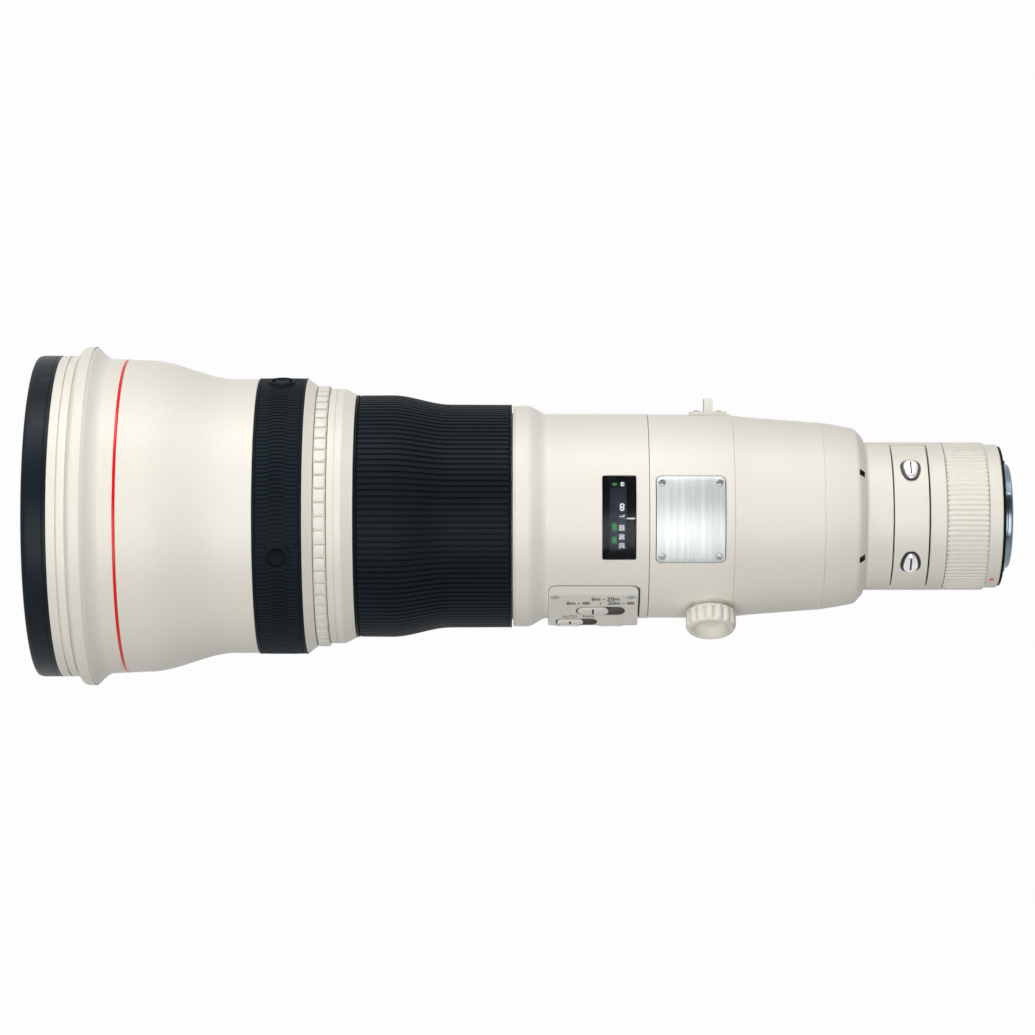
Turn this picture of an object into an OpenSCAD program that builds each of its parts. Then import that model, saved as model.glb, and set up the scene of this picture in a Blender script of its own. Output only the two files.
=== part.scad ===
// Super telephoto lens with a rotating tripod collar.
// The optical axis runs along X: the front points to -X and the camera mount sits at X = 0.
// The tripod foot points down, to -Z. Sizes are in millimetres and angles in degrees.
// An angle round the lens is counted from the top, positive towards +Y.

/* [Camera mount] */
// Width of the rear ring's rim round the mount flange
flange_inset = 2; // [1.7:0.1:2.6]
// Thickness of the mount flange
flange_t = 2.2; // [1.8:0.1:3]
// Width of the flange land that the camera seats on
land_w = 5.2; // [4.6:0.1:5.2]
// How much smaller the bayonet tube is than the land's inner edge
bayonet_step = 2.1; // [1.8:0.1:2.3]
// Length of the bayonet tube behind the flange
bayonet_len = 5.2; // [5:0.1:7]
// Wall of the bayonet tube
bayonet_wall = 1.2; // [1:0.1:1.5]
// Height of the three bayonet tabs above the tube
tab_height = 1.7; // [1.3:0.1:1.8]
// Thickness of a tab along the axis
tab_t = 1.8; // [1.2:0.1:2]
// Distance from the flange to a tab
tab_gap = 2.6; // [2:0.1:3]
// Half the angle that a tab spans
tab_half_angle = 24; // [16:1:28]
// How much smaller the throat is than the bayonet tube
throat_inset = 4.2; // [3.6:0.1:4.8]
// Length of the plastic ring that lines the throat, inside the flange
throat_len = 9; // [7:0.5:10]
// Number of contact pins
pin_count = 8; // [5:1:10]
// Radius of a contact pin
pin_r = 0.75; // [0.5:0.05:0.8]
// Width of the dust seal round the flange
seal_w = 1.1; // [0.8:0.1:1.3]
// How far the dust seal stands behind the flange
seal_proud = 0.9; // [0.5:0.1:1.5]

/* [Neck] */
// Length of the painted ring that carries the mount
rear_ring_len = 7.1; // [6:0.1:9]
// How far that ring lies below the neck's surface
rear_ring_inset = 1.1; // [0.6:0.1:1.4]
// Length of the ribbed grip ring
rear_grip_len = 20.3; // [15:0.1:26]
// How much smaller the neck is than the front of the rear cover
neck_step = 9.4; // [8.6:0.1:9.8]
// Wall of the neck
neck_wall = 3; // [2.6:0.1:3.4]
// Thickness of the ribbed grip ring
rear_grip_t = 2; // [1.5:0.1:2.2]
// Length of the plain band between the grip ring and the filter drawer
rear_band_len = 7.6; // [6:0.1:12]
// Length of the neck in front of the filter drawer
neck_front_len = 12.4; // [9:0.1:16]

/* [Drop-in filter] */
// Length of the opening for the filter drawer
drawer_len = 17.9; // [16:0.1:20]
// Gap all round the drawer's cover
drawer_gap = 0.6; // [0.4:0.05:0.8]
// Half the angle that the cover wraps round the neck
drawer_half_angle = 72; // [68:1:76]
// Thickness of the frame that holds the filter
drawer_frame_t = 11; // [9:0.5:12]
// Distance from the neck's surface to the round end of the frame
drawer_frame_inset = 7.1; // [6.1:0.1:8.1]
// Width of the frame round the filter glass
filter_frame_w = 3.1; // [2.6:0.1:4]
// Thickness of the filter glass
filter_t = 2; // [1:0.1:3]
// Angle of the two release buttons from the top
release_angle = 39; // [34:1:44]
// Length of a release button along the lens
release_len = 8.2; // [6:0.1:9]
// Height of a release button above the cover
release_proud = 1.1; // [0.6:0.1:1.6]
// How far a release button is pressed
release_travel = 1.6; // [1:0.1:2.4]

/* [Rear body] */
// Length of the rear cover
rear_cover_len = 20.3; // [18:0.1:26]
// How much smaller the front of the rear cover is than the main barrel
cover_sink = 4.2; // [3.8:0.1:4.6]
// How much the cover narrows before its bevel
cover_draft = 2.9; // [2.2:0.1:3.4]
// Width of the cover's rim round the neck
cover_rim_w = 2.4; // [2:0.1:3.6]
// Length of the bevel at the back of the cover
cover_bevel_len = 3.6; // [3:0.1:4.6]
// Thickness of the rear cover
cover_t = 1.7; // [1.4:0.1:1.9]
// Length of the tapered barrel behind the collar
taper_len = 42.6; // [36:0.1:50]
// How far the tapered barrel lies below the collar's surface
taper_sink = 0.5; // [0.1:0.1:1]
// Wall at the back of the tapered barrel
taper_wall = 3; // [2.5:0.1:4]

/* [Tripod collar] */
// Length of the collar
collar_len = 40.6; // [38:0.1:48]
// How far the collar lies below the main barrel's surface
collar_sink = 0.2; // [0:0.05:0.3]
// Wall of the collar
collar_wall = 3.2; // [2.8:0.1:3.4]
// Width of the pedestal under the collar
pedestal_w = 42; // [38:1:46]
// Depth of the pedestal's lower face below the axis
pedestal_drop = 64; // [58:1:68]
// Length of the nameplate along the lens
plate_len = 32.5; // [24:0.5:34]
// Width of the nameplate across the lens, measured straight
plate_w = 40.2; // [30:0.2:44]
// Thickness of the nameplate
plate_t = 0.7; // [0.4:0.1:1]
// Length of a strap lug's base
lug_base_len = 17.7; // [15:0.1:20]
// Width of a strap lug
lug_w = 16; // [14:0.5:17]
// Height of a strap lug above the collar
lug_height = 7.7; // [7.3:0.1:9]
// Thickness of a strap lug's loop
lug_loop_t = 4.1; // [3:0.1:5]

/* [Lock knob] */
// Angle of the lock knob round the collar
knob_angle = -62; // [-70:1:-55]
// Radius of the knob
knob_r = 12; // [10:0.1:13]
// Height of the knob above its boss
knob_height = 10.3; // [8:0.1:14]
// Number of grip lobes round the knob
knob_lobes = 15; // [11:1:18]
// Radius of the clamp screw
knob_screw_r = 3; // [2.5:0.1:4]
// How far the clamp pad moves in when the knob is tightened
clamp_travel = 0.25; // [0.1:0.05:0.3]

/* [Tripod foot] */
// Length of the foot's shoe
shoe_len = 132; // [110:1:150]
// Width of the shoe
shoe_w = 36; // [30:1:44]
// Thickness of the shoe
shoe_t = 12; // [11:0.5:16]
// Depth of the shoe's sole below the axis
sole_drop = 98; // [92:1:108]
// Thickness of the flange that bolts to the pedestal
foot_flange_t = 7; // [6:0.5:9]
// Width of the stem across the lens
stem_w = 26; // [20:1:30]
// Radius of the larger tripod socket
big_socket_r = 4; // [3.8:0.05:4.1]
// Radius of the smaller tripod socket
small_socket_r = 2.55; // [2.5:0.05:2.8]
// Depth of both tripod sockets
socket_depth = 9; // [7:0.5:10]

/* [Main barrel] */
// Length of the main barrel in front of the collar
main_len = 64.5; // [62:0.1:74]
// Radius of the main barrel
main_r = 49.2; // [49.1:0.05:49.5]
// Wall of the main barrel
main_wall = 3; // [2.6:0.1:3.1]
// How far the shoulder behind the focus ring rises above the main barrel
shoulder_rise = 4; // [3.2:0.1:4.4]
// Length of that shoulder
shoulder_len = 7; // [6.4:0.1:9]
// Length of the slope behind the shoulder
shoulder_slope_len = 9.5; // [7:0.1:9.6]

/* [Distance window] */
// Length of the window along the lens
window_len = 16.1; // [14:0.1:17]
// Width of the window across the lens, measured straight
window_w = 39.8; // [34:0.2:42]
// Distance from the collar to the window
window_from_collar = 6.1; // [5:0.1:8]
// Length of the clear part of the window
pane_len = 8.1; // [6:0.1:10]
// Width of the clear part of the window, measured straight
pane_w = 33.8; // [28:0.2:35]

/* [Switch panel] */
// Length of the panel along the lens
panel_len = 42.9; // [41:0.1:46]
// Distance from the collar to the panel
panel_from_collar = 4.6; // [3:0.1:6]
// Angle of the upper facet's normal from the top
facet_angle = 57; // [55:0.5:59]
// How far the upper and lower facets lie outside the main barrel's surface
facet_rise = 0.7; // [0.5:0.1:1.2]
// How far the side facet lies outside the main barrel's surface
side_rise = 3.2; // [2.8:0.1:3.8]
// Width of the upper facet
upper_facet_w = 27.4; // [26.4:0.1:28]
// Width of the lower facet
lower_facet_w = 15; // [14:0.1:18]
// Thickness of the panel
panel_t = 1.6; // [1.4:0.1:1.7]
// Length of the focusing range switch's slot
range_slot_len = 23; // [21:0.1:24]
// Width of the focusing range switch's slot
range_slot_w = 7; // [6:0.1:7.4]
// Length of the other switches' slots
slot_len = 19.5; // [18:0.1:20]
// Width of the other switches' slots
slot_w = 5.4; // [5:0.1:6]
// Depth of a slot
slot_depth = 0.8; // [0.6:0.05:0.9]
// Radius of the set button
set_button_r = 3.2; // [2.6:0.1:3.6]

/* [Focus ring] */
// Length of the focus ring
focus_len = 74.5; // [68:0.1:82]
// How much larger the focus ring is at its front than at its back
focus_front_rise = 4.5; // [4:0.1:4.8]
// How far the back of the focus ring rises above the main barrel
focus_rear_rise = 4.6; // [4.4:0.1:5.2]
// Length of the straight front part
focus_front_len = 16.8; // [16.4:0.1:19]
// Length of the waist where the radius drops
focus_waist_len = 28; // [24:0.5:32]
// Thickness of the rubber sleeve
grip_t = 1.8; // [1.5:0.1:2]
// How far the guide tube under the focus ring rises above the main barrel
guide_rise = 0.5; // [0.3:0.05:0.6]
// Wall of the guide tube
guide_wall = 2.5; // [2:0.1:2.6]

/* [Middle barrel] */
// Length of the slope in front of the focus ring
slope_len = 5.7; // [5:0.1:8]
// How far the slope's foot rises above the focus ring
slope_rise = 0.3; // [0:0.1:0.7]
// How far the plain ring rises above the land in front of it
plain_ring_rise = 2; // [1.3:0.1:2.5]
// Length of the plain ring
plain_ring_len = 6.8; // [5:0.1:9]
// How far the land of the preset ring rises above the focus ring
preset_land_rise = 1; // [0.7:0.1:1.2]
// Length of the space for the preset ring
preset_len = 6.5; // [5.5:0.1:9]
// Height of the preset ring above its land
preset_rise = 3.5; // [2.7:0.1:4.1]

/* [Front barrel] */
// Length of the cone behind the front grip
cone_len = 4.7; // [4:0.1:7]
// How far the back of the cone rises above the preset ring's land
cone_rise = 3.3; // [2.7:0.1:3.7]
// Length of the front grip
front_grip_len = 23.3; // [20:0.1:28]
// Thickness of the front grip
front_grip_t = 1.7; // [1.4:0.1:2.2]
// How far the front grip's seat rises above the back of the cone
grip_seat_rise = 2.2; // [2:0.1:2.6]
// How far the barrel rises beside the front grip's seat
waist_rise = 1.2; // [0.8:0.1:1.6]
// Length of that straight part
waist_len = 11.7; // [9:0.1:16]
// Length over which the barrel swells
swell_len = 41.5; // [38:0.1:46]
// How much the barrel's radius grows over the swell
swell_rise = 9; // [8.8:0.1:9.6]
// Length of the part that carries the red ring
ring_part_len = 16.6; // [14:0.1:20]
// How much the radius still grows over that part
ring_part_rise = 0.7; // [0.3:0.1:1]
// Length over which the barrel flares out
flare_len = 8.5; // [7:0.1:10]
// How far the flare rises above the part behind it
flare_rise = 5.8; // [4:0.1:7]
// Length of the flare's band
flare_band_len = 6.9; // [5:0.1:9]
// Length of the two hood ridges together
ridges_len = 9.2; // [8:0.1:11]
// How far the hood ridges rise above the part behind the flare
ridge_rise = 1.6; // [1.2:0.1:2.2]
// Wall at the front of the barrel
front_wall = 2; // [1.8:0.1:2.4]
// Width of the red ring
red_ring_w = 1.7; // [1:0.1:2.4]
// Distance from the end of the swell to the red ring
red_ring_from_swell = 9.3; // [7:0.1:11]

/* [Front end] */
// Length of the rubber bumper ring
bumper_len = 11.8; // [8:0.1:14]
// How far the bumper ring lies below the hood ridges
bumper_sink = 0; // [0:0.1:0.4]
// Edge radius of the bumper ring
bumper_edge_r = 1.5; // [1:0.1:2.5]
// Gap round the front glass
front_glass_gap = 0.15; // [0.1:0.05:0.4]
// Thickness of the front glass at its middle
front_glass_t = 7.6; // [6:0.1:9]

/* [Stop buttons] */
// Angle of the first button
stop_angle = -16.7; // [-30:0.1:0]
// Radius of a button
stop_r = 3.7; // [3:0.1:4]
// Radius of the raised boss round a button
stop_boss_r = 6.35; // [5.6:0.05:7]
// Height of the boss above the grip
stop_boss_height = 1.1; // [0.8:0.1:1.6]

/* [Hidden] */

// Smoothness of round shapes on screen
$fn = 96;
// Running gap between pieces that move past each other
clear = 0.3;
// Gap between round pieces that are fixed into each other
seat = 0.05;
// How far a cut runs past the solid that it cuts
over = 1;

// Colours, as the photograph shows them
paint = [0.9, 0.88, 0.84];
rubber_black = [0.08, 0.11, 0.13];
plastic_black = [0.05, 0.05, 0.06];
ring_red = [0.93, 0.1, 0.08];
steel = [0.75, 0.77, 0.8];
gold = [0.83, 0.66, 0.3];
glass_blue = [0.6, 0.75, 0.85, 0.4];
board_green = [0.1, 0.35, 0.2];

// Places along the axis, worked out from the flange forwards
x_ring = -rear_ring_len;
x_grip = x_ring - rear_grip_len;
x_band = x_grip - rear_band_len;
x_drawer = x_band - drawer_len;
x_neck = x_drawer - neck_front_len;
x_cover = x_neck - rear_cover_len;
x_taper = x_cover - taper_len;
x_collar = x_taper - collar_len;
x_main = x_collar - main_len;
x_focus = x_main - focus_len;
x_slope = x_focus - slope_len;
x_plain = x_slope - plain_ring_len;
x_preset = x_plain - preset_len;
x_cone = x_preset - cone_len;
x_front_grip = x_cone - front_grip_len;
x_waist = x_front_grip - waist_len;
x_swell = x_waist - swell_len;
x_ring_part = x_swell - ring_part_len;
x_flare = x_ring_part - flare_len;
x_band_front = x_flare - flare_band_len;
x_ridges = x_band_front - ridges_len;
x_front = x_ridges - bumper_len;

// Radii, each worked out from the piece beside it
cover_r = main_r - cover_sink;
neck_r = cover_r - neck_step;
rear_ring_r = neck_r - rear_ring_inset;
flange_r = rear_ring_r - flange_inset;
land_r = flange_r - land_w;
bayonet_r = land_r - bayonet_step;
tab_r = bayonet_r + tab_height;
throat_r = bayonet_r - throat_inset;
cover_bevel_r = cover_r - cover_draft;
cover_rim_r = neck_r + cover_rim_w;
taper_bore_r = cover_r - taper_wall;
drawer_frame_r = neck_r - drawer_frame_inset;
filter_r = drawer_frame_r - filter_frame_w;
collar_r = main_r - collar_sink;
taper_r = collar_r - taper_sink;
shoulder_r = main_r + shoulder_rise;
facet_dist = main_r + facet_rise;
side_dist = main_r + side_rise;
guide_r = main_r + guide_rise;
focus_rear_r = main_r + focus_rear_rise;
focus_front_r = focus_rear_r + focus_front_rise;
slope_r = focus_front_r + slope_rise;
preset_land_r = focus_front_r + preset_land_rise;
plain_ring_r = preset_land_r + plain_ring_rise;
preset_r = preset_land_r + preset_rise;
cone_r = preset_land_r + cone_rise;
grip_seat_r = cone_r + grip_seat_rise;
front_grip_r = grip_seat_r + front_grip_t;
waist_r = grip_seat_r + waist_rise;
swell_r = waist_r + swell_rise;
ring_part_r = swell_r + ring_part_rise;
flare_r = ring_part_r + flare_rise;
ridge_r = ring_part_r + ridge_rise;
bumper_r = ridge_r - bumper_sink;
front_bore_r = swell_r - front_wall;
front_glass_r = front_bore_r - front_glass_gap;

// Half the angle under which a straight width is seen on a round body
function half_angle(width, radius) = asin(width / 2 / radius);

// Points of a smooth step from one radius to another, as [radius, place along the axis]
function blend(x0, r0, x1, r1, steps = 8) = [
  for (i = [0:steps]) let (t = i / steps)
    [r0 + (r1 - r0) * t * t * (3 - 2 * t), x0 + (x1 - x0) * t]
];

// Points of a quarter arc from [r0, x0] to [r1, x1] that leaves along the axis
function quarter(x0, r0, x1, r1, steps = 6) = [
  for (i = [0:steps]) let (a = 90 * i / steps)
    [r1 + (r0 - r1) * cos(a), x0 + (x1 - x0) * sin(a)]
];

// Points of a lens surface from the axis to its rim
function dish(x, rim, depth, steps = 8) = [
  for (i = [0:steps]) let (t = i / steps) [rim * t, x + depth * t * t]
];

// The points of a list in reverse order
function reversed(list) = [for (i = [len(list) - 1:-1:0]) list[i]];

// A solid turned about the lens axis from points given as [radius, place along the axis]
module turned(outline) rotate([0, 90, 0]) rotate_extrude() polygon(outline);

// A plain tube along the lens axis
module tube(x0, x1, r_out, r_in) turned([[r_in, x0], [r_out, x0], [r_out, x1], [r_in, x1]]);

// A plain disc along the lens axis
module disc(x0, x1, r) translate([x0, 0, 0]) rotate([0, 90, 0]) cylinder(r = r, h = x1 - x0);

// Part of a tube that spans an angle each side of the top
module arc_tube(x0, x1, r_out, r_in, span)
  rotate([0, 90, 0]) rotate([0, 0, 180 - span]) rotate_extrude(angle = 2 * span)
    polygon([[r_in, x0], [r_out, x0], [r_out, x1], [r_in, x1]]);

// Turns what is drawn above the axis to an angle round the lens
module around(angle) rotate([-angle, 0, 0]) children();

// A peg that points away from the axis, from radius r0 to radius r1
module peg(x, angle, r0, r1, r) around(angle) translate([x, 0, r0]) cylinder(r = r, h = r1 - r0);

// A flat rounded rectangle, centred
module rounded(length, width, corner) {
  square([length - 2 * corner, width], center = true);
  square([length, width - 2 * corner], center = true);
  for (sx = [-1, 1], sy = [-1, 1])
    translate([sx * (length / 2 - corner), sy * (width / 2 - corner)]) circle(corner);
}

// A slot with round ends, centred
module stadium(length, width) {
  square([length - width, width], center = true);
  for (s = [-1, 1]) translate([s * (length - width) / 2, 0]) circle(width / 2);
}

// A glass element between two surfaces
module element(x_first, x_last, rim, first_depth, last_depth)
  turned(concat(dish(x_first, rim, first_depth), reversed(dish(x_last, rim, last_depth))));

// Camera mount values

// Depth of the relief inside the land
land_relief = 0.3;
// Chamfer at the end of the bayonet tube
bayonet_chamfer = 0.6;
// Length of the bayonet's skirt in front of the flange
skirt_len = 4;
// Places of the mount screws from the axis
mount_screw_pitch_r = (flange_r + land_r) / 2;
// Radius and thickness of a mount screw's head
mount_head_r = 1.8;
mount_head_t = 0.8;
// Radius and length of a mount screw's thread
mount_shank_r = 1;
mount_shank_len = 5;
mount_screw_angles = [45, 135, 225, 315];
// Depth that the seal sits in its groove
seal_depth = 1.5;
// Wall of the rear ring where the mount screws hold
rear_ring_wall = 6.9;
rear_ring_bore_r = rear_ring_r - rear_ring_wall;
// Chamfer of the rear ring's edge
rear_ring_chamfer = 0.4;
// Contact arc: half its angle, its height, and how far the pins stand out
contact_half_angle = 38;
contact_height = 1;
contact_angle = 180;
pin_proud = 0.5;
pin_depth = 4;
pin_spread = 60;

module bayonet_mount() color(steel) difference() {
  union() {
    turned([
      [bayonet_r - bayonet_wall, -flange_t - skirt_len],
      [bayonet_r, -flange_t - skirt_len],
      [bayonet_r, -flange_t],
      [flange_r, -flange_t],
      [flange_r, 0],
      [land_r, 0],
      [land_r, -land_relief],
      [bayonet_r, -land_relief],
      [bayonet_r, bayonet_len - bayonet_chamfer],
      [bayonet_r - bayonet_chamfer, bayonet_len],
      [bayonet_r - bayonet_wall, bayonet_len]
    ]);
    for (a = [0, 120, 240])
      around(a)
        arc_tube(tab_gap, tab_gap + tab_t, tab_r, bayonet_r - bayonet_wall / 2, tab_half_angle);
  }
  for (a = mount_screw_angles) around(a) translate([0, 0, mount_screw_pitch_r]) {
    disc(-mount_head_t, over, mount_head_r + seat);
    disc(-flange_t - over, 0, mount_shank_r + seat);
  }
}

module mount_seal() color(rubber_black)
  tube(-seal_depth, seal_proud, flange_r + seat + seal_w, flange_r + seat);

module rear_ring() color(paint) difference() {
  turned([
    [rear_ring_bore_r, x_ring],
    [rear_ring_r, x_ring],
    [rear_ring_r, -rear_ring_chamfer],
    [rear_ring_r - rear_ring_chamfer, 0],
    [flange_r + seal_w + 2 * seat, 0],
    [flange_r + seal_w + 2 * seat, -seal_depth],
    [flange_r + seat, -seal_depth],
    [flange_r + seat, -flange_t],
    [rear_ring_bore_r, -flange_t]
  ]);
  for (a = mount_screw_angles) around(a) translate([0, 0, mount_screw_pitch_r])
    disc(-flange_t - mount_shank_len, over, mount_shank_r + seat);
}

// The ring of black plastic that lines the throat, with the raised arc for the contacts
module contact_ring() color(plastic_black) difference() {
  tube(-throat_len, bayonet_len, bayonet_r - bayonet_wall - seat, throat_r);
  around(contact_angle + 180) arc_tube(
    bayonet_len - contact_height, bayonet_len + over, bayonet_r, throat_r - over,
    180 - contact_half_angle
  );
  contact_pin_places(pin_r + seat);
}

module contact_pins() color(gold) contact_pin_places(pin_r);

module contact_pin_places(r) {
  middle_r = (bayonet_r - bayonet_wall + throat_r) / 2;
  for (i = [0:pin_count - 1])
    around(contact_angle - pin_spread / 2 + pin_spread * i / (pin_count - 1))
      translate([0, 0, middle_r])
        disc(bayonet_len - pin_depth, bayonet_len + pin_proud, r);
}

// Neck values

// Radius of the spigot under the grip ring
spigot_r = neck_r - rear_grip_t;
// Length of the rear lens cell, and its wall, bore and flange
rear_cell_len = 19;
rear_cell_inset = 1;
rear_cell_bore_r = throat_r - rear_cell_inset;
rear_cell_wall = 2.4;
rear_cell_flange_t = 3;
// Place of the shoulder that the rear cell rests on, behind the filter drawer
shoulder_from_band = 4.6;
x_shoulder = x_band + shoulder_from_band;
// Wall of the neck behind the shoulder
neck_small_wall = 5.6;
neck_small_bore_r = neck_r - neck_small_wall;
// Radius and thickness of the flange at the front of the neck
neck_flange_inset = 2.4;
neck_flange_r = cover_r - neck_flange_inset;
neck_flange_t = 3;
// Vertex places and curves of the rear glass, counted from the cell's back
rear_glass_from_back = 4;
rear_glass_t = 9;
rear_glass_curve = 2.2;

module neck_barrel() color(paint) difference() {
  turned([
    [neck_r - neck_wall, x_cover],
    [neck_flange_r, x_cover],
    [neck_flange_r, x_cover + neck_flange_t],
    [neck_r, x_cover + neck_flange_t],
    [neck_r, x_grip],
    [spigot_r, x_grip],
    [spigot_r, x_ring],
    [neck_small_bore_r, x_ring],
    [neck_small_bore_r, x_shoulder],
    [neck_r - neck_wall, x_shoulder]
  ]);
  arc_tube(x_drawer, x_band, neck_r + over, neck_r - neck_wall - over, drawer_half_angle + drawer_gap);
}

module rear_grip() color(paint) tube(x_grip, x_ring, neck_r, spigot_r + seat);

module rear_cell() color(plastic_black) turned([
  [rear_cell_bore_r, x_shoulder - rear_cell_flange_t],
  [neck_r - neck_wall - seat, x_shoulder - rear_cell_flange_t],
  [neck_r - neck_wall - seat, x_shoulder],
  [rear_cell_bore_r + rear_cell_wall, x_shoulder],
  [rear_cell_bore_r + rear_cell_wall, x_shoulder + rear_cell_len],
  [rear_cell_bore_r, x_shoulder + rear_cell_len]
]);

module rear_glass() color(glass_blue) {
  back = x_shoulder + rear_cell_len - rear_glass_from_back;
  element(back - rear_glass_t, back, rear_cell_bore_r - seat, rear_glass_curve, -rear_glass_curve);
}

// Filter drawer values

// Corner where the frame's straight sides meet the cover
frame_x = (x_drawer + x_band - drawer_frame_t) / 2;
// Lip that the filter glass rests on
filter_lip_w = 1.4;
filter_lip_t = 2;
// Width of the button's opening beside the button, along the lens
release_side_gap = 0.4;
// Width of a release button round the neck
release_w = 10.4;
// Depth of a release button below the cover's surface
release_depth = 2.2;
// Width and depth of a groove in a release button
release_groove = 0.5;

// The outline of a release button's opening or of the button, with a round outer end
module release_outline(length, width) {
  translate([0, width / 2 - length / 2]) circle(length / 2);
  translate([-length / 2, -width / 2]) square([length, width - length / 2]);
}

// What is drawn flat is laid on the cover at a release button, outer end away from the top
module on_cover(side, level)
  around(side * release_angle) translate([(x_drawer + x_band) / 2, 0, level])
    mirror([0, side < 0 ? 1 : 0, 0]) children();

module filter_holder() color(paint) difference() {
  union() {
    arc_tube(
      x_drawer + drawer_gap, x_band - drawer_gap,
      neck_r, neck_r - neck_wall + clear, drawer_half_angle
    );
    intersection() {
      translate([frame_x, -drawer_frame_r, 0])
        cube([drawer_frame_t, 2 * drawer_frame_r, neck_r]);
      disc(frame_x - over, frame_x + drawer_frame_t + over, neck_r - neck_wall / 2);
    }
    disc(frame_x, frame_x + drawer_frame_t, drawer_frame_r);
  }
  disc(frame_x - over, frame_x + drawer_frame_t + over, filter_r - filter_lip_w);
  disc(frame_x + filter_lip_t, frame_x + drawer_frame_t + over, filter_r + seat);
  for (side = [-1, 1]) on_cover(side, neck_r - release_depth - clear)
    linear_extrude(release_depth + clear + over)
      translate([0, -release_travel / 2])
        release_outline(
          release_len + 2 * release_side_gap,
          release_w + 2 * release_side_gap + release_travel
        );
}

module filter_glass() color(glass_blue)
  disc(frame_x + filter_lip_t + seat, frame_x + filter_lip_t + seat + filter_t, filter_r);

module release_button(side) color(steel) difference() {
  on_cover(side, neck_r - release_depth)
    linear_extrude(release_depth + release_proud) release_outline(release_len, release_w);
  // Grooves that stop a finger from slipping
  for (s = [-1, 0, 1]) on_cover(side, neck_r + release_proud - release_groove)
    translate([s * release_len / 4 - release_groove / 2, -release_w, 0])
      cube([release_groove, 2 * release_w, release_groove + over]);
}

// Rear body values

// Solid end of the cover in front of its bevel, and the notches in the bevel
cover_end_t = 0.6;
notch_front_wall = 0.2;
notch_len = cover_bevel_len - notch_front_wall;
notch_w = 3.4;
notch_depth = 0.2;
notch_angles = [30, 150, 210, 330];
// Radius step at the front end of the taper
taper_step = 0.9;
taper_step_len = 7.5;
// Depth of the counterbore that takes the main barrel's end
joint_len = 4.2;

module rear_cover() color(paint) difference() {
  turned([
    [cover_r, x_cover],
    [cover_bevel_r, x_neck - cover_bevel_len],
    [cover_rim_r, x_neck],
    [neck_r + seat, x_neck],
    [neck_r + seat, x_neck - cover_bevel_len - cover_end_t],
    [cover_bevel_r - cover_t, x_neck - cover_bevel_len - cover_end_t],
    [cover_r - cover_t, x_cover]
  ]);
  for (a = notch_angles) around(a)
    translate([x_neck - notch_len, -notch_w / 2, cover_rim_r - notch_depth])
      cube([notch_len + over, notch_w, cover_r]);
}

module taper_barrel() color(paint) turned([
  [taper_bore_r, x_cover],
  [cover_r, x_cover],
  [taper_r - taper_step, x_taper + taper_step_len],
  [taper_r, x_taper],
  [seat_r + seat, x_taper],
  [seat_r + seat, x_taper + joint_len],
  [taper_bore_r, x_taper + joint_len]
]);

// Tripod collar values

// Radius of the barrel's seat under the collar
collar_bore_r = collar_r - collar_wall;
seat_r = collar_bore_r - clear;
seat_wall = 2.5;
// Shape of the pedestal
pedestal_inset = 2.7;
pedestal_top_w = 52;
pedestal_waist_drop = 55;
pedestal_root_drop = 40;
// Distance from the collar's back to the nameplate
plate_from_back = 4.8;
plate_corner = 2.4;
// Middle of the strap lugs and the lock knob, counted from the collar's back
lug_from_back = 11;
knob_from_back = 10.8;
// Flat that a strap lug sits on, its base thickness and its slot
lug_flat = 0.6;
lug_base_t = 1.9;
lug_slot_w = 11;
lug_slot_height = 4.4;
lug_top_w = 13;
// Screws of the collar: head radius, head thickness, shank radius and depth
small_head_r = 1.6;
small_head_t = 0.6;
small_shank_r = 0.9;
small_depth = 1.6;
plate_head_r = 1.75;
plate_screw_inset = 2.7;
foot_head_r = 3.5;
foot_head_t = 3.6;
foot_shank_r = 2.4;
foot_screw_depth = 9;
foot_screw_w = 34;
foot_screw_inset = 4.6;
// Boss under the lock knob
boss_r = 8.5;
boss_height = 1.4;
pad_side = 10;
pad_t = 2.1;

x_lug = x_taper - lug_from_back;
x_knob = x_taper - knob_from_back;
x_plate = x_taper - plate_from_back - plate_len;
lug_level = collar_r - lug_flat;
x_pedestal = x_collar + pedestal_inset;
pedestal_len = collar_len - 2 * pedestal_inset;
knob_root = collar_r + boss_height + clear + clamp_travel;

module collar_ring() color(paint) difference() {
  union() {
    disc(x_collar + clear, x_taper - clear, collar_r);
    translate([x_pedestal, 0, 0]) rotate([90, 0, 90]) linear_extrude(pedestal_len) polygon([
      [-pedestal_top_w / 2, -pedestal_root_drop],
      [-pedestal_w / 2, -pedestal_waist_drop],
      [-pedestal_w / 2, -pedestal_drop],
      [pedestal_w / 2, -pedestal_drop],
      [pedestal_w / 2, -pedestal_waist_drop],
      [pedestal_top_w / 2, -pedestal_root_drop]
    ]);
    peg(x_knob, knob_angle, collar_bore_r - over, collar_r + boss_height, boss_r);
  }
  disc(x_collar - over, x_taper + over, collar_bore_r);
  peg(x_knob, knob_angle, collar_bore_r - over, collar_r + boss_height + over, knob_screw_r + clear);
  around(knob_angle) translate([x_knob, 0, 0])
    linear_extrude(collar_bore_r + clear + pad_t)
      square(pad_side + 2 * clear, center = true);
  for (side = [-1, 1]) around(side * 90) translate([x_lug, 0, lug_level])
    linear_extrude(over) square([lug_base_len + 2 * seat, lug_w + 2 * seat], center = true);
  plate_screw_places(collar_r - small_depth, collar_r + over, small_shank_r + seat);
  lug_screw_places(lug_level - small_depth, lug_level + over, small_shank_r + seat);
  foot_screw_places(-over, foot_screw_depth - foot_flange_t, foot_shank_r + seat);
}

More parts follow.
